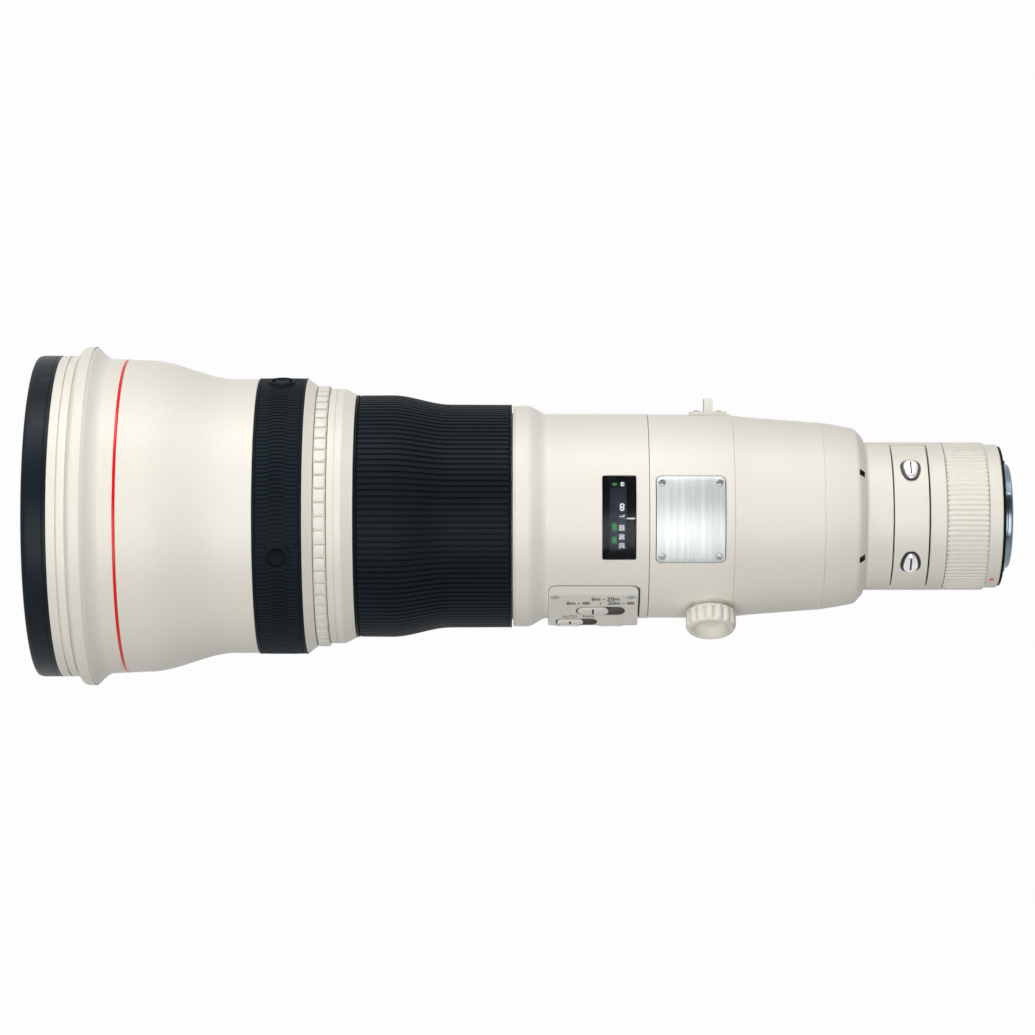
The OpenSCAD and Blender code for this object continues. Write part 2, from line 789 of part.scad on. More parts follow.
// Pegs at the four corners of the nameplate
module plate_screw_places(r0, r1, r) {
  angle = half_angle(plate_w - 2 * plate_screw_inset, collar_r);
  for (x = [x_plate + plate_screw_inset, x_plate + plate_len - plate_screw_inset], s = [-1, 1])
    peg(x, s * angle, r0, r1, r);
}

// Pegs at both ends of each strap lug
module lug_screw_places(r0, r1, r) {
  spread = (lug_base_len + lug_loop_t) / 4;
  for (side = [-1, 1], s = [-1, 1]) peg(x_lug + s * spread, side * 90, r0, r1, r);
}

// Pegs at the four corners of the foot's flange, counted up from the pedestal's face
module foot_screw_places(z0, z1, r)
  for (
    x = [x_pedestal + foot_screw_inset, x_pedestal + pedestal_len - foot_screw_inset],
    s = [-1, 1]
  )
    translate([x, s * foot_screw_w / 2, z0 - pedestal_drop]) cylinder(r = r, h = z1 - z0);

module nameplate() color(steel) difference() {
  intersection() {
    tube(x_plate - over, x_plate + plate_len + over, collar_r + seat + plate_t, collar_r + seat);
    translate([x_plate + plate_len / 2, 0, 0])
      linear_extrude(collar_r + 2 * over) rounded(plate_len, plate_w, plate_corner);
  }
  plate_screw_places(collar_r - over, collar_r + 2 * over, small_shank_r + seat);
}

module strap_lugs() color(steel) for (side = [-1, 1]) difference() {
  around(side * 90) translate([x_lug, 0, lug_level]) {
    linear_extrude(lug_base_t) square([lug_base_len, lug_w], center = true);
    rotate([90, 0, 90]) linear_extrude(lug_loop_t, center = true) difference() {
      polygon([
        [-lug_w / 2, 0],
        [lug_w / 2, 0],
        [lug_w / 2, lug_base_t],
        [lug_top_w / 2, lug_flat + lug_height],
        [-lug_top_w / 2, lug_flat + lug_height],
        [-lug_w / 2, lug_base_t]
      ]);
      translate([-lug_slot_w / 2, lug_base_t]) square([lug_slot_w, lug_slot_height]);
    }
  }
  lug_screw_places(lug_level - over, collar_r + lug_height, small_shank_r + seat);
}

module collar_screws() color(steel) {
  plate_screw_places(collar_r - small_depth, collar_r + plate_t + small_head_t, small_shank_r);
  difference() {
    plate_screw_places(collar_r, collar_r + plate_t + small_head_t, plate_head_r);
    tube(x_plate, x_plate + plate_len, collar_r + plate_t + 2 * seat, collar_r - over);
  }
  lug_screw_places(lug_level - small_depth, lug_level + lug_base_t + small_head_t, small_shank_r);
  lug_screw_places(lug_level + lug_base_t, lug_level + lug_base_t + small_head_t, small_head_r);
  foot_screw_places(-foot_flange_t, foot_screw_depth - foot_flange_t, foot_shank_r);
  foot_screw_places(-foot_flange_t - foot_head_t, -foot_flange_t, foot_head_r);
}

// Foot values

// Distance that the shoe reaches behind the collar's back, and its corner radius
shoe_behind = 4;
shoe_corner = 8;
// Stem: inset of its upper end from the pedestal, and how far it sweeps forwards
stem_inset = 9.2;
stem_sweep = 24;
stem_heel = 5;
// Places of the tripod sockets, counted from the shoe's front
big_socket_from_front = 62;
small_socket_from_front = 34;

x_shoe = x_taper + shoe_behind - shoe_len;
flange_drop = pedestal_drop + foot_flange_t;
shoe_drop = sole_drop - shoe_t;

module tripod_foot() color(paint) difference() {
  union() {
    translate([x_pedestal, -pedestal_w / 2, -flange_drop])
      cube([pedestal_len, pedestal_w, foot_flange_t]);
    rotate([90, 0, 0]) linear_extrude(stem_w, center = true) polygon([
      [x_pedestal + stem_inset, -pedestal_drop - foot_flange_t / 2],
      [x_pedestal + pedestal_len - stem_inset, -pedestal_drop - foot_flange_t / 2],
      [x_pedestal + pedestal_len - stem_inset, -flange_drop],
      [x_pedestal + pedestal_len - stem_inset + stem_heel, -shoe_drop - shoe_t / 2],
      [x_pedestal + stem_inset - stem_sweep, -shoe_drop - shoe_t / 2],
      [x_pedestal + stem_inset - stem_sweep, -shoe_drop],
      [x_pedestal + stem_inset, -flange_drop]
    ]);
    translate([x_shoe + shoe_len / 2, 0, -sole_drop])
      linear_extrude(shoe_t) rounded(shoe_len, shoe_w, shoe_corner);
  }
  foot_screw_places(-foot_flange_t - over, over, foot_shank_r + seat);
  translate([x_shoe + big_socket_from_front, 0, -sole_drop - over])
    cylinder(r = big_socket_r, h = socket_depth + over);
  translate([x_shoe + small_socket_from_front, 0, -sole_drop - over])
    cylinder(r = small_socket_r, h = socket_depth + over);
}

// Lock knob values

knob_neck_r = 7.5;
knob_neck_height = 1.4;
lobe_r = 2;
knob_recess_r = 8.4;
knob_recess_depth = 2.6;

module clamp_pad() color(plastic_black) difference() {
  around(knob_angle) translate([x_knob, 0, collar_bore_r - over])
    linear_extrude(over + pad_t) square(pad_side, center = true);
  disc(x_knob - pad_side, x_knob + pad_side, collar_bore_r + clear / 2);
}

module lock_knob() color(paint) difference() {
  union() {
    peg(x_knob, knob_angle, collar_bore_r + pad_t + clear, knob_root + over, knob_screw_r);
    peg(x_knob, knob_angle, knob_root, knob_root + knob_neck_height + over, knob_neck_r);
    around(knob_angle) translate([x_knob, 0, knob_root + knob_neck_height])
      linear_extrude(knob_height - knob_neck_height) {
        circle(knob_r - lobe_r / 2);
        for (i = [0:knob_lobes - 1])
          rotate(360 * i / knob_lobes) translate([knob_r - lobe_r, 0]) circle(lobe_r);
      }
  }
  peg(
    x_knob, knob_angle,
    knob_root + knob_height - knob_recess_depth, knob_root + knob_height + over, knob_recess_r
  );
}

// Main barrel values

// Length of the guide tube's end inside the shoulder
guide_joint_len = 6;
// Depth and width of the seam groove beside the focus ring
seam_depth = 0.3;
seam_w = 0.4;
// Space between the barrel's wide bore and the collar's seat
bore_step_len = 2;
main_bore_r = main_r - main_wall;

x_window = x_collar - window_from_collar - window_len;
x_panel = x_collar - panel_from_collar - panel_len;

module main_barrel() color(paint) difference() {
  turned(concat(
    [
      [guide_r + seat, x_main + clear],
      [shoulder_r, x_main + clear],
      [shoulder_r, x_main + 2 * seam_w + clear],
      [shoulder_r - seam_depth, x_main + 2 * seam_w + clear],
      [shoulder_r - seam_depth, x_main + 3 * seam_w + clear]
    ],
    [[shoulder_r, x_main + 3 * seam_w + clear]],
    blend(
      x_main + shoulder_len, shoulder_r, x_main + shoulder_len + shoulder_slope_len, main_r
    ),
    [
      [main_r, x_collar],
      [seat_r, x_collar],
      [seat_r, x_taper + joint_len],
      [seat_r - seat_wall, x_taper + joint_len],
      [seat_r - seat_wall, x_collar - bore_step_len],
      [main_bore_r, x_collar - 2 * bore_step_len],
      [main_bore_r, x_main + clear + guide_joint_len],
      [guide_r + seat, x_main + clear + guide_joint_len]
    ]
  ));
  arc_tube(
    x_window, x_window + window_len, shoulder_r, main_bore_r - over,
    half_angle(window_w, main_r)
  );
  panel_wedge();
}

// Distance window values

window_glass_t = 0.8;
window_proud = 0.3;
window_glass_level = main_r + window_proud - window_glass_t;
// Distance from the window's front to the clear part
pane_from_front = 3.5;
drum_t = 1.6;
drum_margin = 0.6;
drum_half_angle = 50;

module window_frame() color(plastic_black) difference() {
  arc_tube(
    x_window, x_window + window_len, window_glass_level - seat, main_bore_r + clear,
    half_angle(window_w, main_r)
  );
  arc_tube(
    x_window + pane_from_front, x_window + pane_from_front + pane_len,
    main_r, main_bore_r - over, half_angle(pane_w, main_r)
  );
}

module window_glass() color(glass_blue) arc_tube(
  x_window, x_window + window_len, main_r + window_proud, window_glass_level,
  half_angle(window_w, main_r)
);

module distance_drum() color(plastic_black) arc_tube(
  x_window + drum_margin, x_window + window_len - drum_margin,
  main_bore_r - clear, main_bore_r - clear - drum_t, drum_half_angle
);

// Switch panel values

// Corner between the upper facet and the side facet, as [across, up]
panel_corner = [-side_dist, (facet_dist - side_dist * sin(facet_angle)) / cos(facet_angle)];
// Bevel above the upper facet: its length and its slope
bevel_len = 4.9;
bevel_angle = 30;
// Depth of the panel's block, and of the walls round its hollow
block_depth = 6.2;
block_r = main_bore_r - block_depth;
panel_wall = 1.5;
panel_top_wall = 4.8;
board_t = 0.8;
board_gap = 1;
// Place of the upper facet's top edge along the facet, counted from the facet's foot point
upper_top = (panel_corner[0] * cos(facet_angle) + panel_corner[1] * sin(facet_angle)) + upper_facet_w;
lower_foot = upper_facet_w - upper_top;

function up_facet(p, w) = p + w * [cos(facet_angle), sin(facet_angle)];
function mirrored(p) = [p[0], -p[1]];
function toward(p, r) = p * r / norm(p);

upper_edge = up_facet(panel_corner, upper_facet_w);
lower_edge = mirrored(up_facet(panel_corner, lower_facet_w));
bevel_edge = upper_edge + bevel_len * [cos(bevel_angle), sin(bevel_angle)];

// The wedge that is cut out of the barrel for the panel
module panel_wedge()
  translate([x_panel, 0, 0]) rotate([90, 0, 90]) linear_extrude(panel_len) polygon([
    toward(bevel_edge, 2 * shoulder_r),
    toward(lower_edge, 2 * shoulder_r),
    toward(lower_edge, block_r),
    toward(bevel_edge, block_r)
  ]);

// Corner between the inner faces of the panel, at a depth below its surface
function inner_corner(depth) = [
  -(side_dist - depth),
  (facet_dist - depth - (side_dist - depth) * sin(facet_angle)) / cos(facet_angle)
];

module panel_hollow() translate([x_panel + panel_wall, 0, 0]) rotate([90, 0, 90])
  linear_extrude(panel_len - 2 * panel_wall) polygon([
    up_facet(inner_corner(panel_t), upper_facet_w - panel_top_wall),
    inner_corner(panel_t),
    mirrored(inner_corner(panel_t)),
    mirrored(up_facet(inner_corner(panel_t), lower_facet_w - panel_top_wall)),
    toward(lower_edge, block_r),
    [-block_r, 0],
    toward(up_facet(panel_corner, upper_facet_w - panel_top_wall), block_r)
  ]);

// Lays what is drawn flat on a facet: distance of the plane, place along the lens and up the facet
module on_facet(angle, dist, x, y) around(angle) translate([x, y, dist]) children();

// Switches, each with its facet, place, slot length, slot width, slider length and travel.
// Places along the lens count from the panel's front and places up the facet from its foot.
range_place = [-facet_angle, facet_dist, 24.95, -6.2];
range_slider_len = 14.8;
mode_place = [-facet_angle, facet_dist, 13.55, -16.2];
stabiliser_place = [-90, side_dist, 12.5, 3.4];
stabiliser_mode_place = [-90, side_dist, 33, 3.4];
preset_place = [facet_angle - 180, facet_dist, 13, 11.6];
set_place = [facet_angle - 180, facet_dist, 32.5, 11.6];
slider_len = 12.5;
slider_gap = 0.5;
slider_proud = 0.9;
stem_w_share = 0.35;
stem_end = 1;
// Screws of the panel
panel_head_r = 1.85;
panel_head_t = 0.7;
panel_shank_r = 0.9;
panel_screw_depth = 2.6;
panel_screw_x = 3.5;
panel_screw_y = 2.5;

// A slot for a switch, cut into the facet and through it
module switch_slot(place, length, width, slider) {
  through_len = length - slider + stem_length(slider) - slider_gap;
  on_facet(place[0], place[1] - slot_depth, x_panel + place[2], place[3])
    linear_extrude(slot_depth + over) stadium(length, width);
  on_facet(place[0], place[1] - panel_t - over, x_panel + place[2], place[3])
    linear_extrude(panel_t + over)
      square([through_len, width * stem_w_share + 2 * clear], center = true);
}

function stem_length(slider) = slider - 2 * stem_end - 2 * clear;

// A slider at the front end of its slot
module slider(place, length, width, slider) color(paint)
  on_facet(place[0], place[1], x_panel + place[2] - (length - slider) / 2 + slider_gap, place[3]) {
    translate([0, 0, clear - slot_depth])
      linear_extrude(slot_depth - clear + slider_proud)
        stadium(slider, width - 2 * slider_gap);
    translate([0, 0, -panel_t - clear])
      linear_extrude(panel_t)
        square([stem_length(slider) - 2 * stem_end, width * stem_w_share], center = true);
  }

module switch_panel() color(paint) difference() {
  translate([x_panel, 0, 0]) rotate([90, 0, 90]) linear_extrude(panel_len) polygon([
    bevel_edge,
    upper_edge,
    panel_corner,
    mirrored(panel_corner),
    lower_edge,
    toward(lower_edge, block_r),
    toward(bevel_edge, block_r)
  ]);
  disc(x_panel - over, x_panel + panel_len + over, main_bore_r + clear);
  panel_hollow();
  switch_slot(range_place, range_slot_len, range_slot_w, range_slider_len);
  switch_slot(mode_place, slot_len, slot_w, slider_len);
  switch_slot(stabiliser_place, slot_len, slot_w, slider_len);
  switch_slot(stabiliser_mode_place, slot_len, slot_w, slider_len);
  switch_slot(preset_place, slot_len, slot_w, slider_len);
  on_facet(set_place[0], set_place[1] - panel_t - over, x_panel + set_place[2], set_place[3])
    cylinder(r = set_button_r + clear, h = panel_t + 2 * over);
  panel_screw_places(-panel_head_t, over, panel_head_r + seat);
  panel_screw_places(-panel_screw_depth, over, panel_shank_r + seat);
}

// Pegs at the four corners of the panel, counted out from the facet
module panel_screw_places(z0, z1, r) {
  for (x = [x_panel + panel_screw_x, x_panel + panel_len - panel_screw_x]) {
    on_facet(-facet_angle, facet_dist + z0, x, upper_top - panel_screw_y)
      cylinder(r = r, h = z1 - z0);
    on_facet(facet_angle - 180, facet_dist + z0, x, lower_foot - lower_facet_w + panel_screw_y)
      cylinder(r = r, h = z1 - z0);
  }
}

module set_button() color(plastic_black)
  on_facet(set_place[0], set_place[1], x_panel + set_place[2], set_place[3])
    translate([0, 0, -panel_t - clear])
      cylinder(r = set_button_r, h = panel_t + clear + slider_proud);

module switch_boards() color(board_green) {
  board_len = panel_len - 2 * panel_wall - 2 * clear;
  level = facet_dist - panel_t - board_gap - board_t;
  foot = panel_corner[0] * cos(facet_angle) + panel_corner[1] * sin(facet_angle);
  for (row = [
    [-facet_angle, foot + panel_wall, upper_top - panel_top_wall - clear],
    [facet_angle - 180, lower_foot - lower_facet_w + panel_top_wall + clear, -foot - panel_wall]
  ])
    on_facet(row[0], level, x_panel + panel_len / 2 - board_len / 2, row[1])
      cube([board_len, row[2] - row[1], board_t]);
  side_half = panel_corner[1] - panel_wall;
  on_facet(-90, side_dist - panel_t - board_gap - board_t, x_panel + panel_wall + clear, -side_half)
    cube([board_len, 2 * side_half, board_t]);
}

module barrel_screws() color(steel) {
  panel_screw_places(-panel_head_t + seat, 0, panel_head_r);
  panel_screw_places(-panel_screw_depth, -panel_head_t / 2, panel_shank_r);
  for (a = mount_screw_angles) around(a) translate([0, 0, mount_screw_pitch_r]) {
    disc(-mount_head_t, 0, mount_head_r);
    disc(-flange_t - mount_shank_len + over, -mount_head_t / 2, mount_shank_r);
  }
}

// Focus ring values

// Length of the sleeve's front lip, and of the space for the motor behind it
lip_len = 4.8;
motor_space_len = 20;
motor_space_rise = 3.7;
motor_space_r = guide_r + motor_space_rise;
motor_len = 15.5;
motor_gap = 0.6;
x_waist_front = x_focus + focus_front_len;
x_waist_rear = x_waist_front + focus_waist_len;

module focus_grip() color(rubber_black) turned(concat(
  [[focus_front_r - grip_t + seat, x_focus], [focus_front_r, x_focus]],
  blend(x_waist_front, focus_front_r, x_waist_rear, focus_rear_r),
  [[focus_rear_r, x_main - clear], [focus_rear_r - grip_t + seat, x_main - clear]],
  reversed(blend(
    x_waist_front, focus_front_r - grip_t + seat, x_waist_rear, focus_rear_r - grip_t + seat
  ))
));

module focus_sleeve() color(plastic_black) turned(concat(
  [[guide_r + clear, x_focus], [focus_front_r - grip_t, x_focus]],
  blend(x_waist_front, focus_front_r - grip_t, x_waist_rear, focus_rear_r - grip_t),
  [
    [focus_rear_r - grip_t, x_main - clear],
    [guide_r + clear, x_main - clear],
    [guide_r + clear, x_focus + lip_len + motor_space_len],
    [motor_space_r, x_focus + lip_len + motor_space_len],
    [motor_space_r, x_focus + lip_len],
    [guide_r + clear, x_focus + lip_len]
  ]
));

module focus_motor() color(steel) tube(
  x_focus + lip_len + over, x_focus + lip_len + over + motor_len,
  motor_space_r - motor_gap, guide_r + seat
);

// Moving focus group inside the guide tube
guide_bore_r = guide_r - guide_wall;
focus_cell_len = 24;
focus_cell_wall = 5.6;
focus_cell_from_front = 25;
focus_glass_t = 8;
focus_glass_curve = 3.2;
x_focus_cell = x_focus + focus_cell_from_front;
focus_glass_r = guide_bore_r - clear - focus_cell_wall;

module focus_cell() color(plastic_black)
  tube(x_focus_cell, x_focus_cell + focus_cell_len, guide_bore_r - clear, focus_glass_r + seat);

module focus_glass() color(glass_blue) {
  middle = x_focus_cell + focus_cell_len / 2;
  element(
    middle - focus_glass_t / 2, middle + focus_glass_t / 2,
    focus_glass_r, -focus_glass_curve, focus_glass_curve
  );
}

// Middle barrel values

web_t = 4.4;
spigot_wall = 3;
spigot_len = 6.6;

module middle_barrel() color(paint) turned([
  [preset_land_r - spigot_wall, x_preset - spigot_len],
  [preset_land_r, x_preset - spigot_len],
  [preset_land_r, x_plain],
  [plain_ring_r, x_plain],
  [plain_ring_r, x_slope],
  [slope_r, x_focus - clear],
  [guide_r, x_focus - clear],
  [guide_r, x_main + clear + guide_joint_len],
  [guide_bore_r, x_main + clear + guide_joint_len],
  [guide_bore_r, x_focus - clear - web_t],
  [preset_land_r - spigot_wall, x_focus - clear - web_t]
]);

module preset_ring() color(paint)
  tube(x_preset + clear, x_plain - clear, preset_r, preset_land_r + clear);

// Front barrel values

// Number of stop buttons round the front grip
stop_count = 4;
// Wall under the front grip, and the grooves between the ridges
grip_seat_wall = 2.2;
ridge_groove_w = 0.6;
ridge_groove_depth = 0.8;
ridge_share = 0.5;
red_ring_depth = 0.6;
red_ring_sink = 0.1;
inner_swell_shift = 2;
cone_web_len = 6.7;
front_small_bore_r = grip_seat_r - grip_seat_wall;
x_red_ring = x_swell - red_ring_from_swell - red_ring_w;
x_ridge_groove = x_band_front - ridge_groove_w - (ridges_len - ridge_groove_w) * ridge_share;

// Radius of the front barrel on the part that carries the red ring
function ring_part_at(x) = swell_r + (ring_part_r - swell_r) * (x_swell - x) / ring_part_len;

module front_barrel() color(paint) difference() {
  turned(concat(
    [
      [front_bore_r, x_ridges],
      [ridge_r, x_ridges],
      [ridge_r, x_ridge_groove],
      [ridge_r - ridge_groove_depth, x_ridge_groove],
      [ridge_r - ridge_groove_depth, x_ridge_groove + ridge_groove_w],
      [ridge_r, x_ridge_groove + ridge_groove_w],
      [ridge_r, x_band_front - ridge_groove_w],
      [ridge_r - ridge_groove_depth, x_band_front - ridge_groove_w],
      [ridge_r - ridge_groove_depth, x_band_front],
      [flare_r, x_band_front],
      [flare_r, x_flare]
    ],
    flare_points(),
    [
      [ring_part_at(x_red_ring), x_red_ring],
      [ring_part_r - red_ring_depth - red_ring_sink, x_red_ring],
      [ring_part_r - red_ring_depth - red_ring_sink, x_red_ring + red_ring_w],
      [ring_part_at(x_red_ring + red_ring_w), x_red_ring + red_ring_w]
    ],
    blend(x_swell, swell_r, x_waist, waist_r, 12),
    [
      [waist_r, x_front_grip],
      [grip_seat_r, x_front_grip],
      [grip_seat_r, x_cone],
      [waist_r, x_cone],
      [cone_r, x_preset],
      [preset_land_r + seat, x_preset],
      [preset_land_r + seat, x_preset - cone_web_len],
      [front_small_bore_r, x_preset - cone_web_len]
    ],
    blend(
      x_waist - inner_swell_shift, front_small_bore_r,
      x_swell - inner_swell_shift, front_bore_r, 12
    )
  ));
  for (i = [0:stop_count - 1])
    peg(x_stop, stop_angle + 360 * i / stop_count, front_small_bore_r - over, waist_r, stop_r + clear);
}

// Points of the flare, from its band back to the part that carries the red ring
function flare_points(steps = 6) = [
  for (i = [1:steps]) let (t = 1 - i / steps)
    [ring_part_r + (flare_r - ring_part_r) * (1 - cos(90 * t)), x_ring_part - flare_len * t]
];

module red_ring() color(ring_red) tube(
  x_red_ring + seat, x_red_ring + red_ring_w - seat,
  ring_part_r - red_ring_sink - seat, ring_part_r - red_ring_depth - red_ring_sink + seat
);

// The rubber grip with its raised bosses round the stop buttons
x_stop = (x_cone + x_front_grip) / 2;
stop_hole_gap = 1.2;
stop_top_gap = 0.3;
stop_flange_r = 4.8;
stop_flange_t = 1.2;

module front_grip() color(rubber_black) difference() {
  union() {
    tube(x_front_grip + seat, x_cone - seat, front_grip_r, grip_seat_r + seat);
    for (i = [0:stop_count - 1])
      peg(
        x_stop, stop_angle + 360 * i / stop_count,
        front_grip_r - grip_t / 2, front_grip_r + stop_boss_height, stop_boss_r
      );
  }
  for (i = [0:stop_count - 1])
    peg(
      x_stop, stop_angle + 360 * i / stop_count,
      grip_seat_r - over, front_grip_r + 2 * stop_boss_height, stop_r + stop_hole_gap
    );
}

// A push button with a wide foot that holds it under the barrel's wall
module stop_button(i) color(rubber_black) {
  angle = stop_angle + 360 * (i - 1) / stop_count;
  foot_level = front_small_bore_r - 2 * clear;
  peg(x_stop, angle, foot_level - stop_flange_t / 2, front_grip_r + stop_boss_height - stop_top_gap, stop_r);
  peg(x_stop, angle, foot_level - stop_flange_t, foot_level, stop_flange_r);
}

// Front end values

bumper_wall = 3.7;
retaining_t = 3.4;
retaining_len = 5.9;
retaining_set_back = 3.4;
retaining_gap = 0.4;
front_glass_curve = 3.2;
front_glass_back_curve = 3;
cell_lip_w = 4.5;
cell_wall = 5.5;
cell_len = 27.5;
cell_lip_t = 2;
cell_lead_w = 2.6;
// First element of the front group: place in the cell, thickness and curves
first_from_front = 2.5;
first_t = 15;
first_curve = 4;
first_back_curve = 3;
// Second element of the front group
second_from_front = 21;
second_t = 3;
second_curve = 2.5;
second_back_curve = 1.2;

x_retaining = x_ridges - retaining_set_back;
x_glass_rim = x_retaining + retaining_len + retaining_gap;
x_glass = x_glass_rim - front_glass_curve;
x_glass_back = x_glass + front_glass_t + front_glass_back_curve;
cell_bore_r = front_bore_r - cell_wall;
cell_lip_r = cell_bore_r - cell_lip_w;

module bumper_ring() color(rubber_black) turned(concat(
  [[bumper_r - bumper_wall, x_front], [bumper_r - bumper_edge_r, x_front]],
  reversed(quarter(x_front + bumper_edge_r, bumper_r, x_front, bumper_r - bumper_edge_r, 4)),
  [[bumper_r, x_ridges], [bumper_r - bumper_wall, x_ridges]]
));

module front_retaining_ring() color(plastic_black) turned([
  [front_glass_r - retaining_t + retaining_t / 2, x_retaining],
  [front_bore_r - 2 * seat, x_retaining],
  [front_bore_r - 2 * seat, x_retaining + retaining_len],
  [front_bore_r - 2 * seat - retaining_t, x_retaining + retaining_len],
  [front_bore_r - 2 * seat - retaining_t, x_retaining + retaining_len / 2]
]);

module front_glass() color(glass_blue)
  element(x_glass, x_glass + front_glass_t, front_glass_r, front_glass_curve, front_glass_back_curve);

module front_group_cell() color(plastic_black) turned([
  [cell_bore_r + cell_lead_w, x_glass_back + seat],
  [front_bore_r - 2 * seat, x_glass_back + seat],
  [front_bore_r - 2 * seat, x_glass_back + cell_len],
  [cell_lip_r, x_glass_back + cell_len],
  [cell_lip_r, x_glass_back + cell_len - cell_lip_t],
  [cell_bore_r, x_glass_back + cell_len - cell_lip_t],
  [cell_bore_r, x_glass_back + first_from_front]
]);

module front_group_glass() color(glass_blue) {
  first = x_glass_back + first_from_front;
  second = x_glass_back + second_from_front;
  element(first, first + first_t, cell_bore_r - seat, first_curve, -first_back_curve);
  element(second, second + second_t, cell_bore_r - seat, -second_curve, second_back_curve);
}

// Iris values

iris_from_taper = 7;
iris_len = 13;
iris_wall = 2.4;
iris_plate_t = 2;
iris_plate_w = 22;
iris_open_r = taper_bore_r - iris_plate_w;
iris_cover_t = 1.4;
iris_ring_t = 1.6;
iris_ring_inset = 12;
iris_ring_bore_r = taper_bore_r - iris_ring_inset;
blade_count = 8;
blade_t = 0.25;
blade_pitch = 0.45;
blade_span = 80;
blade_inset = 9.5;
blade_w = 11;
blade_outer_r = taper_bore_r - blade_inset;
blade_inner_r = blade_outer_r - blade_w;
blade_hub_r = 2.6;
post_r = 0.9;
post_inset = 7.4;
post_pitch_r = taper_bore_r - post_inset;
x_iris = x_taper + iris_from_taper;
x_iris_back = x_iris + iris_len;
iris_post_len = iris_len - iris_cover_t - iris_plate_t - iris_ring_t - 3 * clear;

module iris_housing() color(plastic_black) {
  turned([
    [iris_open_r, x_iris_back - iris_plate_t],
    [taper_bore_r - seat - iris_wall, x_iris_back - iris_plate_t],
    [taper_bore_r - seat - iris_wall, x_iris],
    [taper_bore_r - seat, x_iris],
    [taper_bore_r - seat, x_iris_back],
    [iris_open_r, x_iris_back]
  ]);
  tube(x_iris, x_iris + iris_cover_t, taper_bore_r - iris_wall - 2 * seat, iris_open_r);
  for (i = [0:blade_count - 1]) around(360 * i / blade_count) translate([0, 0, post_pitch_r])
    disc(x_iris_back - iris_plate_t - iris_post_len, x_iris_back - iris_plate_t / 2, post_r);
}

module iris_ring() color(steel) tube(
  x_iris + iris_cover_t + clear, x_iris + iris_cover_t + clear + iris_ring_t,
  taper_bore_r - seat - iris_wall - clear, iris_ring_bore_r
);

// Eight blades at full aperture, each in its own layer and held by its post
module iris_blades() color(plastic_black) for (i = [0:blade_count - 1])
  translate([x_iris_back - iris_plate_t - clear - blade_pitch * (i + 1), 0, 0])
    around(360 * i / blade_count) difference() {
      union() {
        around(blade_span / 2)
          arc_tube(0, blade_t, blade_outer_r, blade_inner_r, blade_span / 2);
        translate([0, 0, post_pitch_r]) disc(0, blade_t, blade_hub_r);
      }
      translate([0, 0, post_pitch_r]) disc(-over, over, post_r + seat);
    }

// Stabiliser values

stabiliser_from_iris = 5;
frame_t = 2.6;
frame_w = 18;
frame_bore_r = taper_bore_r - frame_w;
carriage_t = 2.2;
carriage_inset = 6;
carriage_w = 15;
carriage_r = taper_bore_r - carriage_inset;
carriage_bore_r = carriage_r - carriage_w;
moving_cell_len = 5;
moving_cell_inset = 16;
moving_cell_wall = 9;
moving_cell_r = taper_bore_r - moving_cell_inset;
moving_glass_r = moving_cell_r - moving_cell_wall;
moving_glass_t = 4.4;
moving_glass_curve = 1.2;
x_frame = x_iris_back + stabiliser_from_iris;
x_carriage = x_frame + frame_t + clear;
x_moving_cell = x_carriage + carriage_t + clear;

module stabiliser_frame() color(plastic_black)
  tube(x_frame, x_frame + frame_t, taper_bore_r - seat, frame_bore_r);

module stabiliser_carriage() color(steel)
  tube(x_carriage, x_carriage + carriage_t, carriage_r, carriage_bore_r);

module stabiliser_cell() color(plastic_black) {
  tube(x_moving_cell, x_moving_cell + moving_cell_len, moving_cell_r, moving_glass_r + seat);
  middle = x_moving_cell + moving_cell_len / 2;
  element(
    middle - moving_glass_t / 2, middle + moving_glass_t / 2,
    moving_glass_r, moving_glass_curve, -moving_glass_curve
  );
}

bumper_ring();
front_barrel();
red_ring();
front_retaining_ring();
front_glass();
front_group_cell();
front_group_glass();
front_grip();
stop_button(1);  // stop_button_1
stop_button(2);  // stop_button_2
stop_button(3);  // stop_button_3
stop_button(4);  // stop_button_4
preset_ring();
middle_barrel();
focus_sleeve();
focus_grip();
focus_motor();
focus_cell();
focus_glass();
main_barrel();
window_frame();
window_glass();
distance_drum();
switch_panel();
barrel_screws();
switch_boards();
slider(range_place, range_slot_len, range_slot_w, range_slider_len);  // range_switch
slider(mode_place, slot_len, slot_w, slider_len);  // focus_mode_switch
slider(stabiliser_place, slot_len, slot_w, slider_len);  // stabiliser_switch
slider(stabiliser_mode_place, slot_len, slot_w, slider_len);  // stabiliser_mode_switch
slider(preset_place, slot_len, slot_w, slider_len);  // preset_switch
set_button();
collar_ring();
nameplate();
collar_screws();
strap_lugs();
tripod_foot();
clamp_pad();
lock_knob();
taper_barrel();
rear_cover();
neck_barrel();
filter_holder();
filter_glass();
release_button(-1);  // release_button_left
release_button(1);  // release_button_right
rear_grip();
rear_ring();
mount_seal();
bayonet_mount();
contact_ring();
contact_pins();
rear_cell();
rear_glass();
iris_housing();
iris_ring();
iris_blades();
stabiliser_frame();
stabiliser_carriage();
stabiliser_cell();
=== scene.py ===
import math
import bmesh
import bpy
from mathutils import Matrix, Vector


